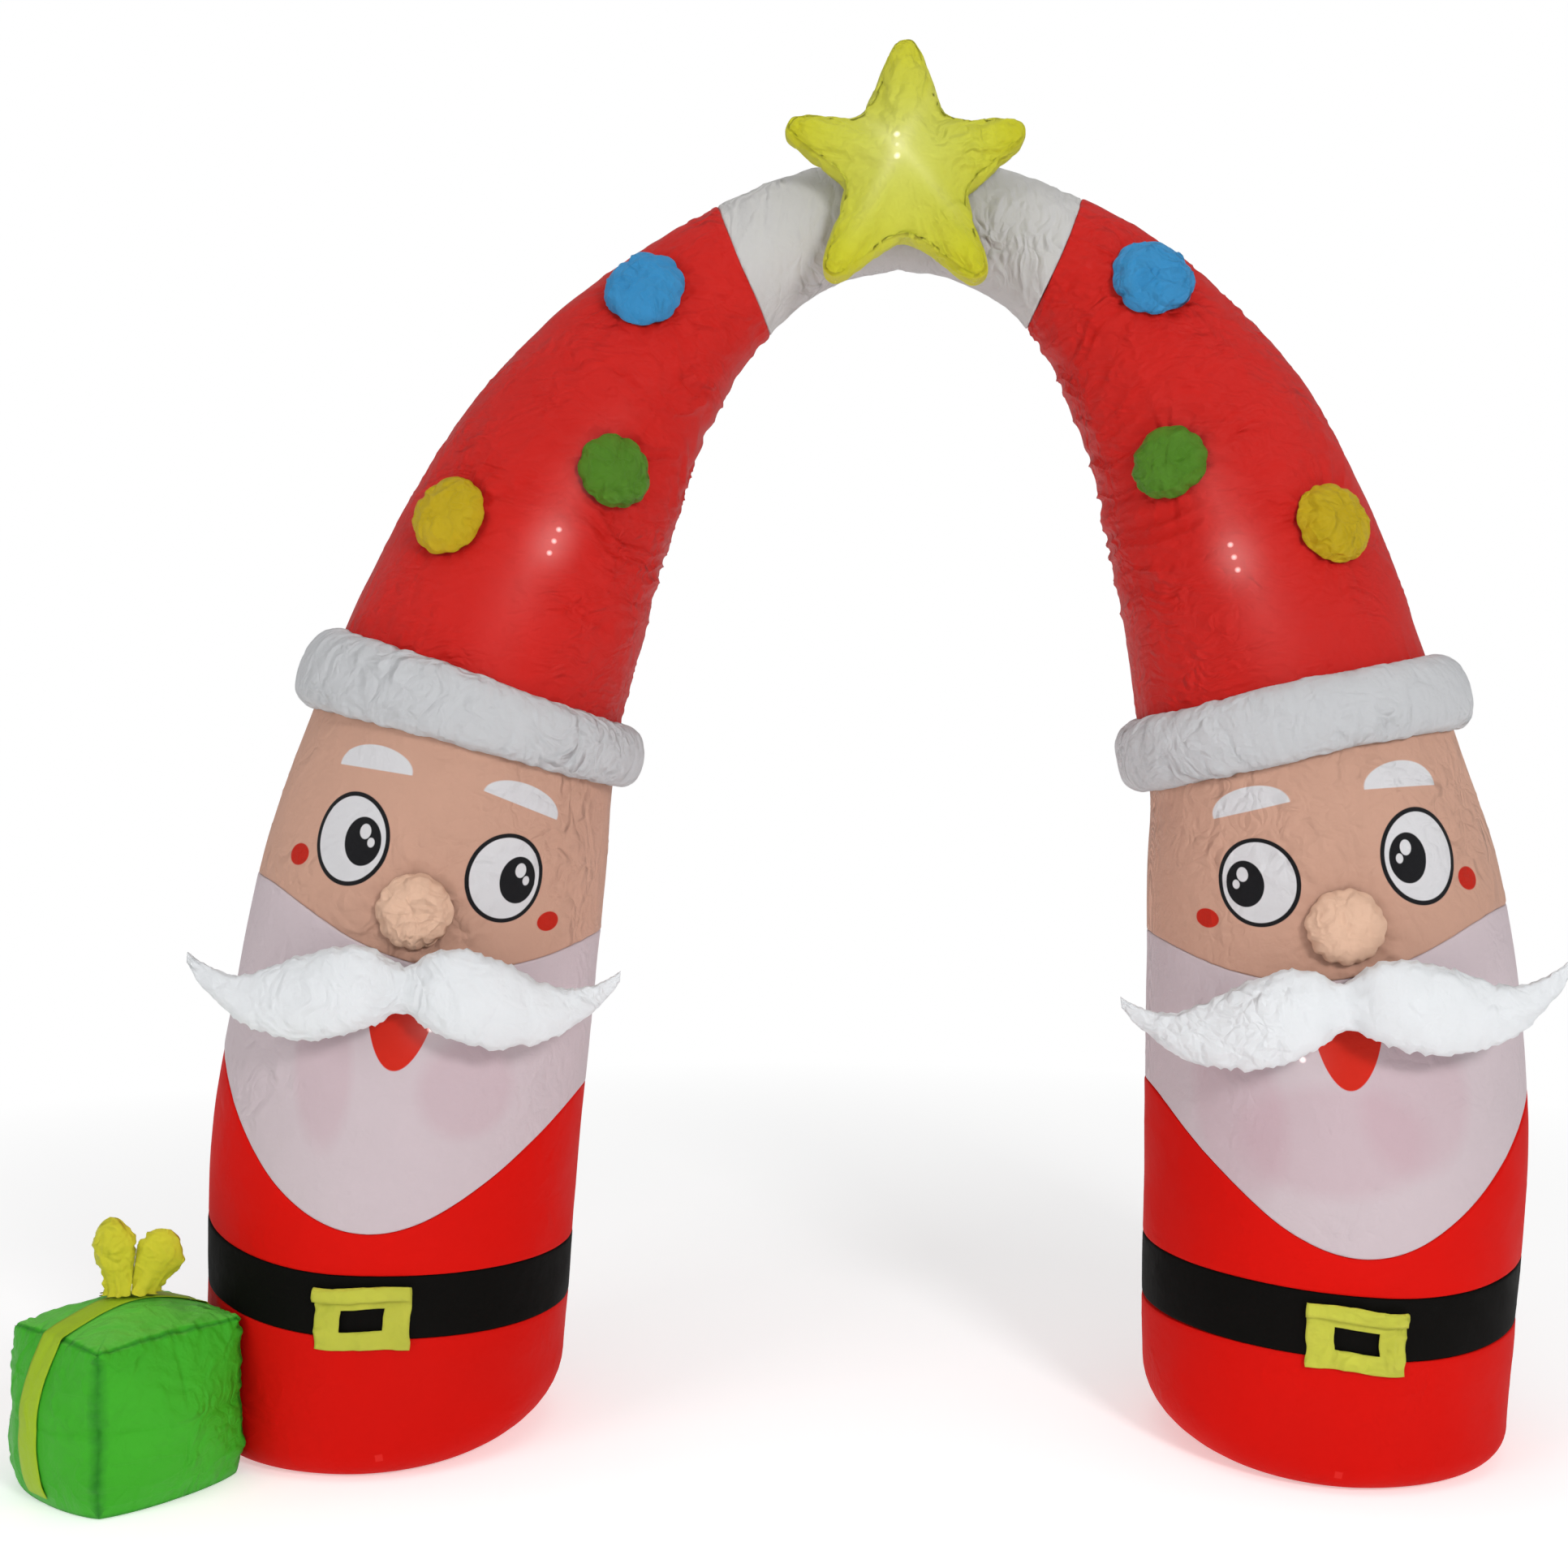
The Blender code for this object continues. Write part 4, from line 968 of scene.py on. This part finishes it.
def present_box(material, n=88):
    """Crowned cube: seams drawn in along its edges, gathers square to them, pinched corners."""
    faces = []
    lattice = np.arange(n + 1)
    for axis in range(3):
        for level in (0, n):
            i, j = np.meshgrid(lattice, lattice, indexing="ij")
            cols = [i, j]
            cols.insert(axis, np.full_like(i, level))
            flat = (cols[0] * (n + 1) + cols[1]) * (n + 1) + cols[2]
            corners = [flat[:-1, :-1], flat[1:, :-1], flat[1:, 1:], flat[:-1, 1:]]
            if (axis == 1) != (level == n):
                corners[1], corners[3] = corners[3], corners[1]
            faces.append(np.stack(corners, -1).reshape(-1, 4))
    faces = np.vstack(faces)
    used, faces = np.unique(faces, return_inverse=True)
    faces = faces.reshape(-1, 4)
    a, b, c = ((used // (n + 1) ** 2), (used // (n + 1)) % (n + 1), used % (n + 1))

    # from -1 to 1, closer together near the edges
    a, b, c = (t + 0.10 * np.sin(math.pi * t) for t in (2.0 * k / n - 1 for k in (a, b, c)))
    p = box_point(a, b, c)
    normal = BOX_U * (a ** 9)[:, None] + BOX_V * (b ** 9)[:, None] + UP * (c ** 9)[:, None]
    normal /= np.linalg.norm(normal, axis=1)[:, None]
    out = np.zeros(len(p))
    order = np.sort(np.abs(np.stack([a, b, c])), 0)
    edge = 1 - order[1]                      # 0 on an edge, growing into a face
    dist = edge * BOX_HALF
    out -= 0.0034 * np.exp(-(dist / 0.004) ** 2)
    ribbon = np.exp(-(b / 0.33) ** 8) * (np.abs(b) < 0.9)
    keep = 1 - 0.92 * ribbon * (np.maximum(np.abs(a), np.abs(c)) > np.abs(b))
    # position along the edge is the coordinate that is free there
    lone = np.where(np.abs(a) == order[0], a, np.where(np.abs(b) == order[0], b, c))
    tag = np.where(np.abs(a) == order[0], 1.0, np.where(np.abs(b) == order[0], 5.0, 9.0))
    sign = np.sign(a) + 2 * np.sign(b) + 4 * np.sign(c)
    gather = noise(lone * BOX_HALF / 0.013, tag + sign * 3.0, dist / 0.05, 401)
    gather = gather + 0.7 * noise(lone * BOX_HALF / 0.006, tag + sign * 3.0, dist / 0.03, 402)
    out += 0.0027 * gather * np.exp(-dist / 0.017) * keep
    gather = noise(lone * BOX_HALF / 0.020, tag + sign * 3.0, dist / 0.03, 403)
    out += 0.0022 * gather * np.exp(-dist / 0.05) * keep
    x, y, z = p[:, 0], p[:, 1], p[:, 2]
    out += 0.0026 * fbm(x / 0.10, y / 0.10, z / 0.10, 405, 2) * keep
    out += 0.0022 * crease(x / 0.06, y / 0.06, z / 0.035, 406, 2.0) * keep * smooth(dist, 0, 0.02)
    corner = np.abs(a * b * c) ** 5
    out -= 0.009 * corner * keep
    low = smooth(z, 0.0, 0.03)
    p = p + normal * (out * low)[:, None]
    p[:, 2] = np.maximum(p[:, 2], 0.0)
    p = clear_of_leg(p, 0.0060)
    uv = np.stack([dist * np.where(tag > 8, 1.0, 2.6), lone * BOX_HALF], -1)
    made = make("present_box_cloth", p, faces, material, uv)
    held = ((edge < 1e-6) | (p[:, 2] < 0.002) | (a > 0.2) & (b > -0.9) & (c < 0.9)).astype(float)
    held = np.maximum(held, ribbon * (np.abs(b) < 0.30))
    return relax(made, held, 0.010, 2.0, 0.004, frames=6)


def present_ribbon(material):
    """Flat band up the outer face, over the top and down the far face."""
    path = [(-1.0, c) for c in np.linspace(-0.86, 0.985, 60)]
    path += [(a, 1.0) for a in np.linspace(-0.985, 0.985, 64)]
    path += [(1.0, c) for c in np.linspace(0.985, -0.30, 40)]
    path = np.array(path)
    bs = np.linspace(-0.5, 0.5, 9) * RIBBON_WIDE / BOX_HALF
    a, b = np.meshgrid(path[:, 0], bs, indexing="ij")
    c, _ = np.meshgrid(path[:, 1], bs, indexing="ij")
    p = box_point(a, b, c)
    away = BOX_U * (a ** 7)[..., None] + UP * (c ** 7)[..., None]
    away /= np.linalg.norm(away, axis=-1)[..., None]
    lift = 0.0022 + 0.0005 * noise(np.arange(len(path))[:, None] / 5.0, b * 3, 0.0, 431)
    low = clear_of_leg(p + away * lift[..., None], 0.0046)
    high = clear_of_leg(p + away * (lift + CLOTH_THICK)[..., None], 0.0037)
    r, k = a.shape
    i, j = np.meshgrid(np.arange(r - 1), np.arange(k - 1), indexing="ij")
    f = (i * k + j).ravel()
    faces = np.stack([f, f + 1, f + k + 1, f + k], -1)
    return sheet_piece("present_ribbon_cloth", low.reshape(-1, 3), high.reshape(-1, 3), faces, material,
                       "present_ribbon")


BOW_LOBES = {
    "left": (math.radians(-8), 0.126, 0.030, 0.022, -0.010, -1.0),
    "right": (math.radians(27), 0.108, 0.035, 0.026, 0.017, 1.0),
}
LOBE = [(0.00, 1.12), (0.06, 0.92), (0.15, 0.80), (0.30, 0.84), (0.50, 1.00), (0.70, 1.00), (0.86, 0.76),
        (0.95, 0.44), (1.0, 0.03)]


def bow_lobe(which, material, seed, cols=72, rows=84):
    """Flat cushion gathered at its foot, where the two press together above a short flared end."""
    lean, length, wide, deep, foot, way = BOW_LOBES[which]
    across, facing = np.array([0.937, 0.350, 0.0]), np.array([0.350, -0.937, 0.0])
    axis = UP * math.cos(lean) + across * math.sin(lean)
    side = across * math.cos(lean) - UP * math.sin(lean)
    top = float(box_point(np.array(0.0), np.array(0.0), np.array(1.0))[2]) + 0.0044 + 0.0030
    root = np.array([BOX_AT[0], BOX_AT[1], top]) + across * foot
    fine = spline([(t, w, 0) for t, w in LOBE], 16)
    t = 0.5 * np.linspace(0, 1, rows) + 0.5 * np.sin(np.linspace(0, 1, rows) * math.pi / 2)
    share = np.interp(t, fine[:, 1], fine[:, 2])
    a = TAU * np.arange(cols) / cols
    T, A = np.meshgrid(t, a, indexing="ij")
    ca, sa = np.cos(A), np.sin(A)
    base = np.exp(-T / 0.30)
    fold = noise(ca * 2.6, sa * 2.6, T * 1.2, seed) + 0.7 * noise(ca * 5.2, sa * 5.2, T, seed + 1)
    facet = crease(ca * 1.4, sa * 1.4, T * 4.2, seed + 2, 1.2)
    facet = facet + 0.5 * crease(ca * 2.6, sa * 2.6, T * 8.0, seed + 5, 1.4)
    nicks = 0.08 * noise(T * 16, np.sign(ca) * 3, 0.0, seed + 3) * np.abs(ca) ** 8
    bulge = 1 + 0.30 * fold * base + 0.13 * (facet - 0.5) + nicks
    w = share[:, None] * bulge
    p = (root + axis * (length * T)[..., None] + side * (wide * w * ca)[..., None]
         + facing * (deep * w * np.sign(sa) * np.abs(sa) ** 0.9)[..., None])
    middle = 0.5 * sum(v[4] for v in BOW_LOBES.values())
    off = (p - np.array([BOX_AT[0], BOX_AT[1], top])) @ across - middle - 0.14 * (p[..., 2] - top)
    short = np.maximum(0.0, 0.0004 - way * off)
    p = p + across * (way * short)[..., None]
    p[..., 2] = np.maximum(p[..., 2], top - 0.0004)
    uv = np.stack([A * 0.03, T * length], -1)
    verts, faces, uv = closed(p, p[0].mean(0), root + axis * length, uv)
    return make(f"present_bow_{which}_cloth", verts, faces, material, uv)


# ---- prints, and painted light and shade --------------------------------
PRINTS_AND_PAINTED_SHADE = {
    # s and degrees of each eye (outer, inner); brow as two ends and a top; cheeks; inner_shade is painted
    # shade, the shadows of the inner panels seen through the beard
    "left": {
        "eyes": [(1.024, -18.0), (1.009, 34.0)],
        "brows": [((1.136, -31.2), (1.178, -16.5), (1.146, -3.0)),
                  ((1.148, 21.5), (1.176, 33.0), (1.123, 50.5))],
        "cheeks": [(0.979, -37.5), (0.945, 52.5)], "mouth": (0.765, 8.3), "mouth_low": 0.093,
        "inner_shade": [(0.665, -13.0, 0.050, 0.130, 0.15), (0.652, 31.0, 0.080, 0.082, 0.0)],
    },
    "right": {
        "eyes": [(0.998, -19.8), (0.987, 32.5)],
        "brows": [((1.107, 47.5), (1.156, 29.0), (1.117, 19.0)),
                  ((1.115, -6.2), (1.144, -24.2), (1.101, -34.4))],
        "cheeks": [(0.952, -37.6), (0.931, 51.5)], "mouth": (0.737, 9.0), "mouth_low": 0.094,
        "inner_shade": [(0.600, 42.0, 0.080, 0.150, -0.2), (0.620, -10.0, 0.090, 0.110, 0.0),
                        (0.560, 14.0, 0.150, 0.090, 0.0)],
    },
}
INK, WHITE_INK, RED_INK = (0.010, 0.010, 0.012, 1.0), (0.79, 0.78, 0.80, 1.0), (0.60, 0.018, 0.006, 1.0)


def spot(side, s, degrees):
    """Cloth coordinates of a place given by s and degrees."""
    return math.radians(degrees) * float(sample(side, s)[2]), s


def face_prints(side):
    facts = PRINTS_AND_PAINTED_SHADE[side]

    def prints_and_painted_light(n, base):
        for low, top, high in facts["brows"]:
            p, q, r = (np.array(spot(side, *x)) for x in (low, top, high))
            if p[0] > r[0]:
                p, r = r, p
            turn = math.atan2(r[1] - p[1], r[0] - p[0])
            middle = 0.5 * (p + r)
            half = 0.5 * float(np.hypot(*(r - p)))
            tall = abs(float((q - middle) @ np.array([-math.sin(turn), math.cos(turn)])))
            mask, at = n.oval(tuple(middle), (half, tall), turn)
            rise = n.spread(n.math("ADD", n.axes(at)[1], 0.06), -0.02, 0.02, 0.0, 1.0)
            base = n.mix(n.math("MULTIPLY", mask, rise), base, WHITE_INK)
        for s, degrees in facts["eyes"]:
            u, v = spot(side, s, degrees)
            tilt = math.radians(5)
            for (du, dv), half, ink in [
                ((0, 0), (0.0688, 0.0755), INK), ((0, 0), (0.0616, 0.0683), WHITE_INK),
                ((0.0220, 0.0), (0.0325, 0.0395), INK), ((0.0235, 0.0165), (0.0098, 0.0122), WHITE_INK),
                ((0.0370, 0.0010), (0.0062, 0.0078), WHITE_INK),
            ]:
                mask, _ = n.oval((u + du, v + dv), half, tilt, 0.0006 / half[0])
                base = n.mix(mask, base, ink)
        for s, degrees in facts["cheeks"]:
            mask, _ = n.oval(spot(side, s, degrees), (0.0235, 0.0175), 0.2, 0.04)
            base = n.mix(mask, base, RED_INK)
        return base
    return prints_and_painted_light


def foot_mark(side):
    """The small square patch low on the front of each leg."""
    s, degrees = {"left": (0.039, 12.0), "right": (0.032, 8.7)}[side]

    def prints_and_painted_light(n, base):
        x, y, _ = n.axes(n.placed(spot(side, s, degrees), (0.006, 0.006), 0.12))
        far = n.math("MAXIMUM", n.math("ABSOLUTE", x), n.math("ABSOLUTE", y))
        mask = n.math("MULTIPLY", n.spread(far, 0.9, 1.1, 1.0, 0.0), 0.5)
        return n.mix(mask, base, (0.70, 0.035, 0.028, 1.0))
    return prints_and_painted_light


def beard_prints_and_painted_shade(side):
    facts = PRINTS_AND_PAINTED_SHADE[side]

    def prints_and_painted_light(n, base):
        # painted shadows: soft darker pink shapes where the inner panels shade the beard from within
        for s, degrees, half_u, half_s, turn in facts["inner_shade"]:
            mask, _ = n.oval(spot(side, s, degrees), (half_u, half_s), turn, 0.16)
            base = n.mix(n.math("MULTIPLY", mask, 0.20), base, (0.50, 0.24, 0.30, 1.0))
        s, degrees = facts["mouth"]
        x, y, _ = n.axes(n.placed(spot(side, s, degrees), (0.048, facts["mouth_low"])))
        down = n.math("MULTIPLY", y, -1.0)
        x = n.math("MULTIPLY", x, n.math("ADD", n.math("MULTIPLY", down, 0.16), 0.92))
        far = n.math("ADD", n.math("MULTIPLY", x, x), n.math("POWER", n.math("MAXIMUM", down, 0.0), 1.9))
        mask = n.spread(far, 0.98, 1.02, 1.0, 0.0)
        under = n.spread(y, 0.10, 0.12, 1.0, 0.0)
        return n.mix(n.math("MULTIPLY", mask, under), base, RED_INK)
    return prints_and_painted_light


def star_light(n, base):
    """The lamps inside make the middle of the star paler than its edges."""
    mask, _ = n.oval((0.0, 0.01), (0.20, 0.20), 0.0, 0.75)
    base = n.mix(mask, (0.72, 0.66, 0.010, 1.0), base)
    pale, _ = n.oval((-0.005, 0.035), (0.09, 0.10), 0.0, 0.95)
    return n.mix(n.math("MULTIPLY", pale, 0.5), base, (0.82, 0.83, 0.24, 1.0))


def seam_shade(n, base):
    """Painted shade: the box's cloth is darker along its seams, where it is doubled and gathered. Painted
    light: its upward faces are a paler green, as its top lets more light through.
    """
    # painted shade along the seams of the box
    far = n.math("ADD", n.axes(n.uv)[0], n.math("MULTIPLY", n.noise(60.0, 2.0), 0.012))
    painted_seam_shade = n.math("MULTIPLY", n.spread(far, 0.004, 0.022, 1.0, 0.0), 0.75)
    # painted light: faces that point up are mixed towards a paler green
    face = n.add("ShaderNodeNewGeometry")
    top = n.spread(n.axes(face.outputs["Normal"])[2], 0.70, 0.98, 0.0, 0.6)
    base = n.mix(top, base, (0.20, 0.72, 0.10, 1.0))
    return n.mix(painted_seam_shade, base, (0.010, 0.16, 0.012, 1.0))


# ---- the pieces ---------------------------------------------------------
MATT = {"rough": 0.62, "crinkle": 0.10, "shine": 0.06, "calm": 1.0}
RED = cloth("coat_red", (0.590, 0.0050, 0.0024), **MATT)
BLACK = cloth("belt_black", (0.0034, 0.0031, 0.0026), rough=0.65, crinkle=0.12, shine=0.05, calm=1.0)
WHITE = cloth("white_nylon", (0.71, 0.72, 0.74), rough=0.45, crinkle=0.75, vary=0.025, shine=0.25)
SNOW = cloth("moustache_nylon", (0.80, 0.82, 0.84), rough=0.45, crinkle=0.36, vary=0.02, shine=0.25,
             fine=1.2, calm=0.3)
TOP = cloth("top_white", (0.62, 0.61, 0.60), rough=0.42, crinkle=0.50, vary=0.05, shine=0.25,
            grain=(1.9, 0.8, 0.7))
NOSE = cloth("nose_nylon", (0.82, 0.53, 0.38), rough=0.48, crinkle=0.45, vary=0.04, shine=0.2)
POMPOM_CLOTH = {colour: cloth(f"{colour}_nylon", shown, rough=0.40, crinkle=1.1) for colour, shown in (
    ("blue", (0.056, 0.38, 0.78)), ("green", (0.112, 0.31, 0.022)), ("yellow", (0.73, 0.52, 0.013)))}
STAR_LAMPS = [(-0.015, 0.054, 0.0040, 0.045, 0.7), (-0.015, 0.036, 0.0025, 0.02, 0.3),
              (-0.015, 0.018, 0.0040, 0.045, 0.7)]
# painted highlights: two long soft streaks of light crossing the star, drawn as emission
STAR_PAINTED_STREAKS = [(-0.020, 0.020, 0.013, 0.110, -0.50, 0.10), (0.006, 0.016, 0.013, 0.115, 0.75, 0.10)]
STAR = cloth("star_nylon", (0.80, 0.83, 0.046), rough=0.40, crinkle=0.9, prints_and_painted_light=star_light,
             glow=spots(STAR_LAMPS, STAR_PAINTED_STREAKS))
BOW = cloth("bow_nylon", (0.92, 0.88, 0.048), rough=0.42, crinkle=1.1, vary=0.10)
PRESENT = cloth("present_green", (0.052, 0.45, 0.018), rough=0.46, crinkle=0.45, vary=0.10, shine=0.25,
                calm=0.6, prints_and_painted_light=seam_shade)
RIBBON = cloth("ribbon_lime", (0.34, 0.50, 0.016), rough=0.55, crinkle=0.25, shine=0.2)
BUCKLE = cloth("buckle_lime", (0.86, 0.88, 0.095), rough=0.46, crinkle=1.3, vary=0.16, fine=0.8)

# the lamp in each beard and the middle one of three in each hat: s and degrees
BEARD_LAMP = {"left": (0.745, 17.5), "right": (0.692, 22.0)}
HAT_LAMP = {"left": (1.586, 18.5), "right": (1.528, 17.0)}

for side, seed in (("left", 11), ("right", 511)):
    low = LOWER_BY[side]
    # painted light: the beard's white cloth is given a pinkish grey, for the red light that comes through it
    # from the red cloth behind
    beard = cloth(f"{side}_beard", (0.60, 0.505, 0.535), rough=0.50, crinkle=0.30, vary=0.03, shine=0.2,
                  calm=1.0, prints_and_painted_light=beard_prints_and_painted_shade(side),
                  glow=spots([(*spot(side, *BEARD_LAMP[side]), 0.004, 0.045, 0.8)]))
    skin = cloth(f"{side}_skin", (0.69, 0.40, 0.295), rough=0.50, crinkle=0.60, vary=0.04, shine=0.16,
                 prints_and_painted_light=face_prints(side))
    s0, d0 = HAT_LAMP[side]
    lamps = [(*spot(side, s0 + k * 0.022, d0), 0.0035, 0.04, 0.7) for k in (-1, 0, 1)]
    # painted highlights: two long soft streaks of light down each hat, drawn as emission
    painted_streaks = [(*spot(side, s0 - 0.05, d0 - 5), 0.045, 0.17, 0.0, 0.035),
               (*spot(side, s0 + 0.10, d0 - 1), 0.035, 0.15, 0.0, 0.03)]
    hat = cloth(f"{side}_hat_red", (0.590, 0.009, 0.005), rough=0.45, crinkle=0.42, vary=0.07, shine=0.30,
                grain=(0.8, 0.8, 1.9), glow=spots(lamps, painted_streaks))
    coat_lower(side, cloth(f"{side}_coat_low_red", (0.570, 0.0050, 0.0024), prints_and_painted_light=foot_mark(side), **MATT))
    # piece, its two seams, rows, columns, relief, cloth and slot
    for k, (name, start, end, rows, cols, relief, material, slot) in enumerate((
            ("belt", "belt_low", "belt_high", 14, 180, coat_relief, BLACK, "black_cloth"),
            ("coat_upper", "belt_high", "beard_low", 44, 180, coat_relief, RED, "red_cloth"),
            ("beard", "beard_low", "face_low", 90, 210, beard_relief, beard, "beard_cloth"),
            ("face", "face_low", "hat_low", 110, 300, face_relief, skin, "skin_cloth"),
            ("hat", "hat_low", "hat_end", 220, 260, hat_relief, hat, "hat_cloth"))):
        panel(side, name, start, end, rows, cols, relief, seed + 1 + k, material)
    cuff(side, WHITE, seed + 6)
    puff(side, "nose", NOSE_AT - low, FACE_TURN - math.radians(1.0), NOSE_RADIUS, NOSE_OUT, NOSE,
         seed + 7, 15, 0.14)
    moustache(side, SNOW, seed + 8)
    buckle(side, BUCKLE, seed + 9)
    for k, (colour, (at, degrees)) in enumerate(POMPOMS.items()):
        puff(side, f"pompom_{colour}", at - low * POMPOM_LOWER, math.radians(degrees), POMPOM_RADIUS,
             POMPOM_OUT, POMPOM_CLOTH[colour], seed + 20 + k, 9 + k)
top_section(TOP)
star(STAR)
present_box(PRESENT)
present_ribbon(RIBBON)
bow_lobe("left", BOW, 601)
bow_lobe("right", BOW, 621)

# ---- floor, light and camera --------------------------------------------
world = bpy.data.worlds.new("studio")
bpy.context.scene.world = world
world.use_nodes = True
background = world.node_tree.nodes["Background"]
background.inputs[0].default_value = (1.0, 1.0, 1.0, 1.0)
background.inputs[1].default_value = 0.40
bpy.context.scene.view_settings.view_transform = "Standard"


def stage_mesh(name, verts, faces, emission, base, near, far):
    """Part of the set: lit cloth near the object that fades into plain bright paper."""
    mesh = bpy.data.meshes.new(name)
    mesh.from_pydata(verts, [], faces)
    made = link(name, mesh)
    pale = Nodes(name)
    fade = pale.spread(pale.vector("LENGTH", pale.object).outputs["Value"], near, far, 0.0, 1.0)
    pale.put(pale.shader, "Base Color", pale.mix(fade, (base, base, base, 1.0), (0.0, 0.0, 0.0, 1.0)))
    pale.put(pale.shader, "Roughness", 1.0)
    pale.put(pale.shader, "Specular IOR Level", 0.0)
    pale.put(pale.shader, "Emission Color", (1.0, 1.0, 1.0, 1.0))
    pale.put(pale.shader, "Emission Strength", pale.spread(fade, 0.0, 1.0, emission, 1.0))
    mesh.materials.append(pale.material)
    return made


SIDES, FLOOR_Z, FAR = 96, -0.002, 11
ring = [(FAR * math.cos(TAU * k / SIDES), FAR * math.sin(TAU * k / SIDES)) for k in range(SIDES)]
stage_mesh("floor", [(x, y, FLOOR_Z) for x, y in ring], [tuple(range(SIDES))], 0.42, 0.86, 1.3, 4.2)
levels = ((FLOOR_Z, 1.0), (4.0, 1.0), (9.0, 0.8), (14.0, 0.1))    # height and width of the backdrop
sides = [(r * SIDES + k, r * SIDES + (k + 1) % SIDES, (r + 1) * SIDES + (k + 1) % SIDES, (r + 1) * SIDES + k)
         for r in range(len(levels) - 1) for k in range(SIDES)]
lid = tuple(range(SIDES * (len(levels) - 1), SIDES * len(levels)))
wall = stage_mesh("backdrop", [(x * w, y * w, h) for h, w in levels for x, y in ring], sides + [lid],
                  1.0, 0.0, 1.0, 2.0)
wall.visible_diffuse = wall.visible_glossy = wall.visible_shadow = wall.visible_transmission = False


def area_light(name, at, towards, size, power):
    data = bpy.data.lights.new(name, "AREA")
    data.energy, data.size = power, size
    lamp = link(name, data)
    lamp.location = at
    away = np.array(at, float) - np.array(towards, float)
    yaw = math.atan2(away[0], -away[1])
    pitch = math.atan2(math.hypot(away[0], away[1]), away[2])
    lamp.rotation_euler = (pitch, 0.0, yaw)
    return lamp


area_light("key", (2.0, -4.5, 2.7), (0, 0, 1.1), 0.9, 122)
area_light("fill", (-3.6, -3.4, 2.2), (0, 0, 1.0), 2.2, 50)
area_light("top", (0.0, -1.3, 4.6), (0, -0.1, 0.8), 2.6, 26)

camera = link("camera", bpy.data.cameras.new("camera"))
camera.location = (-0.011, -3.135, 1.124)
camera.rotation_euler = (math.pi / 2, 0.0, 0.0)
camera.data.sensor_width = SENSOR_MM
camera.data.lens = SENSOR_MM * FOCAL_PIXELS / IMAGE_WIDE
bpy.context.scene.camera = camera
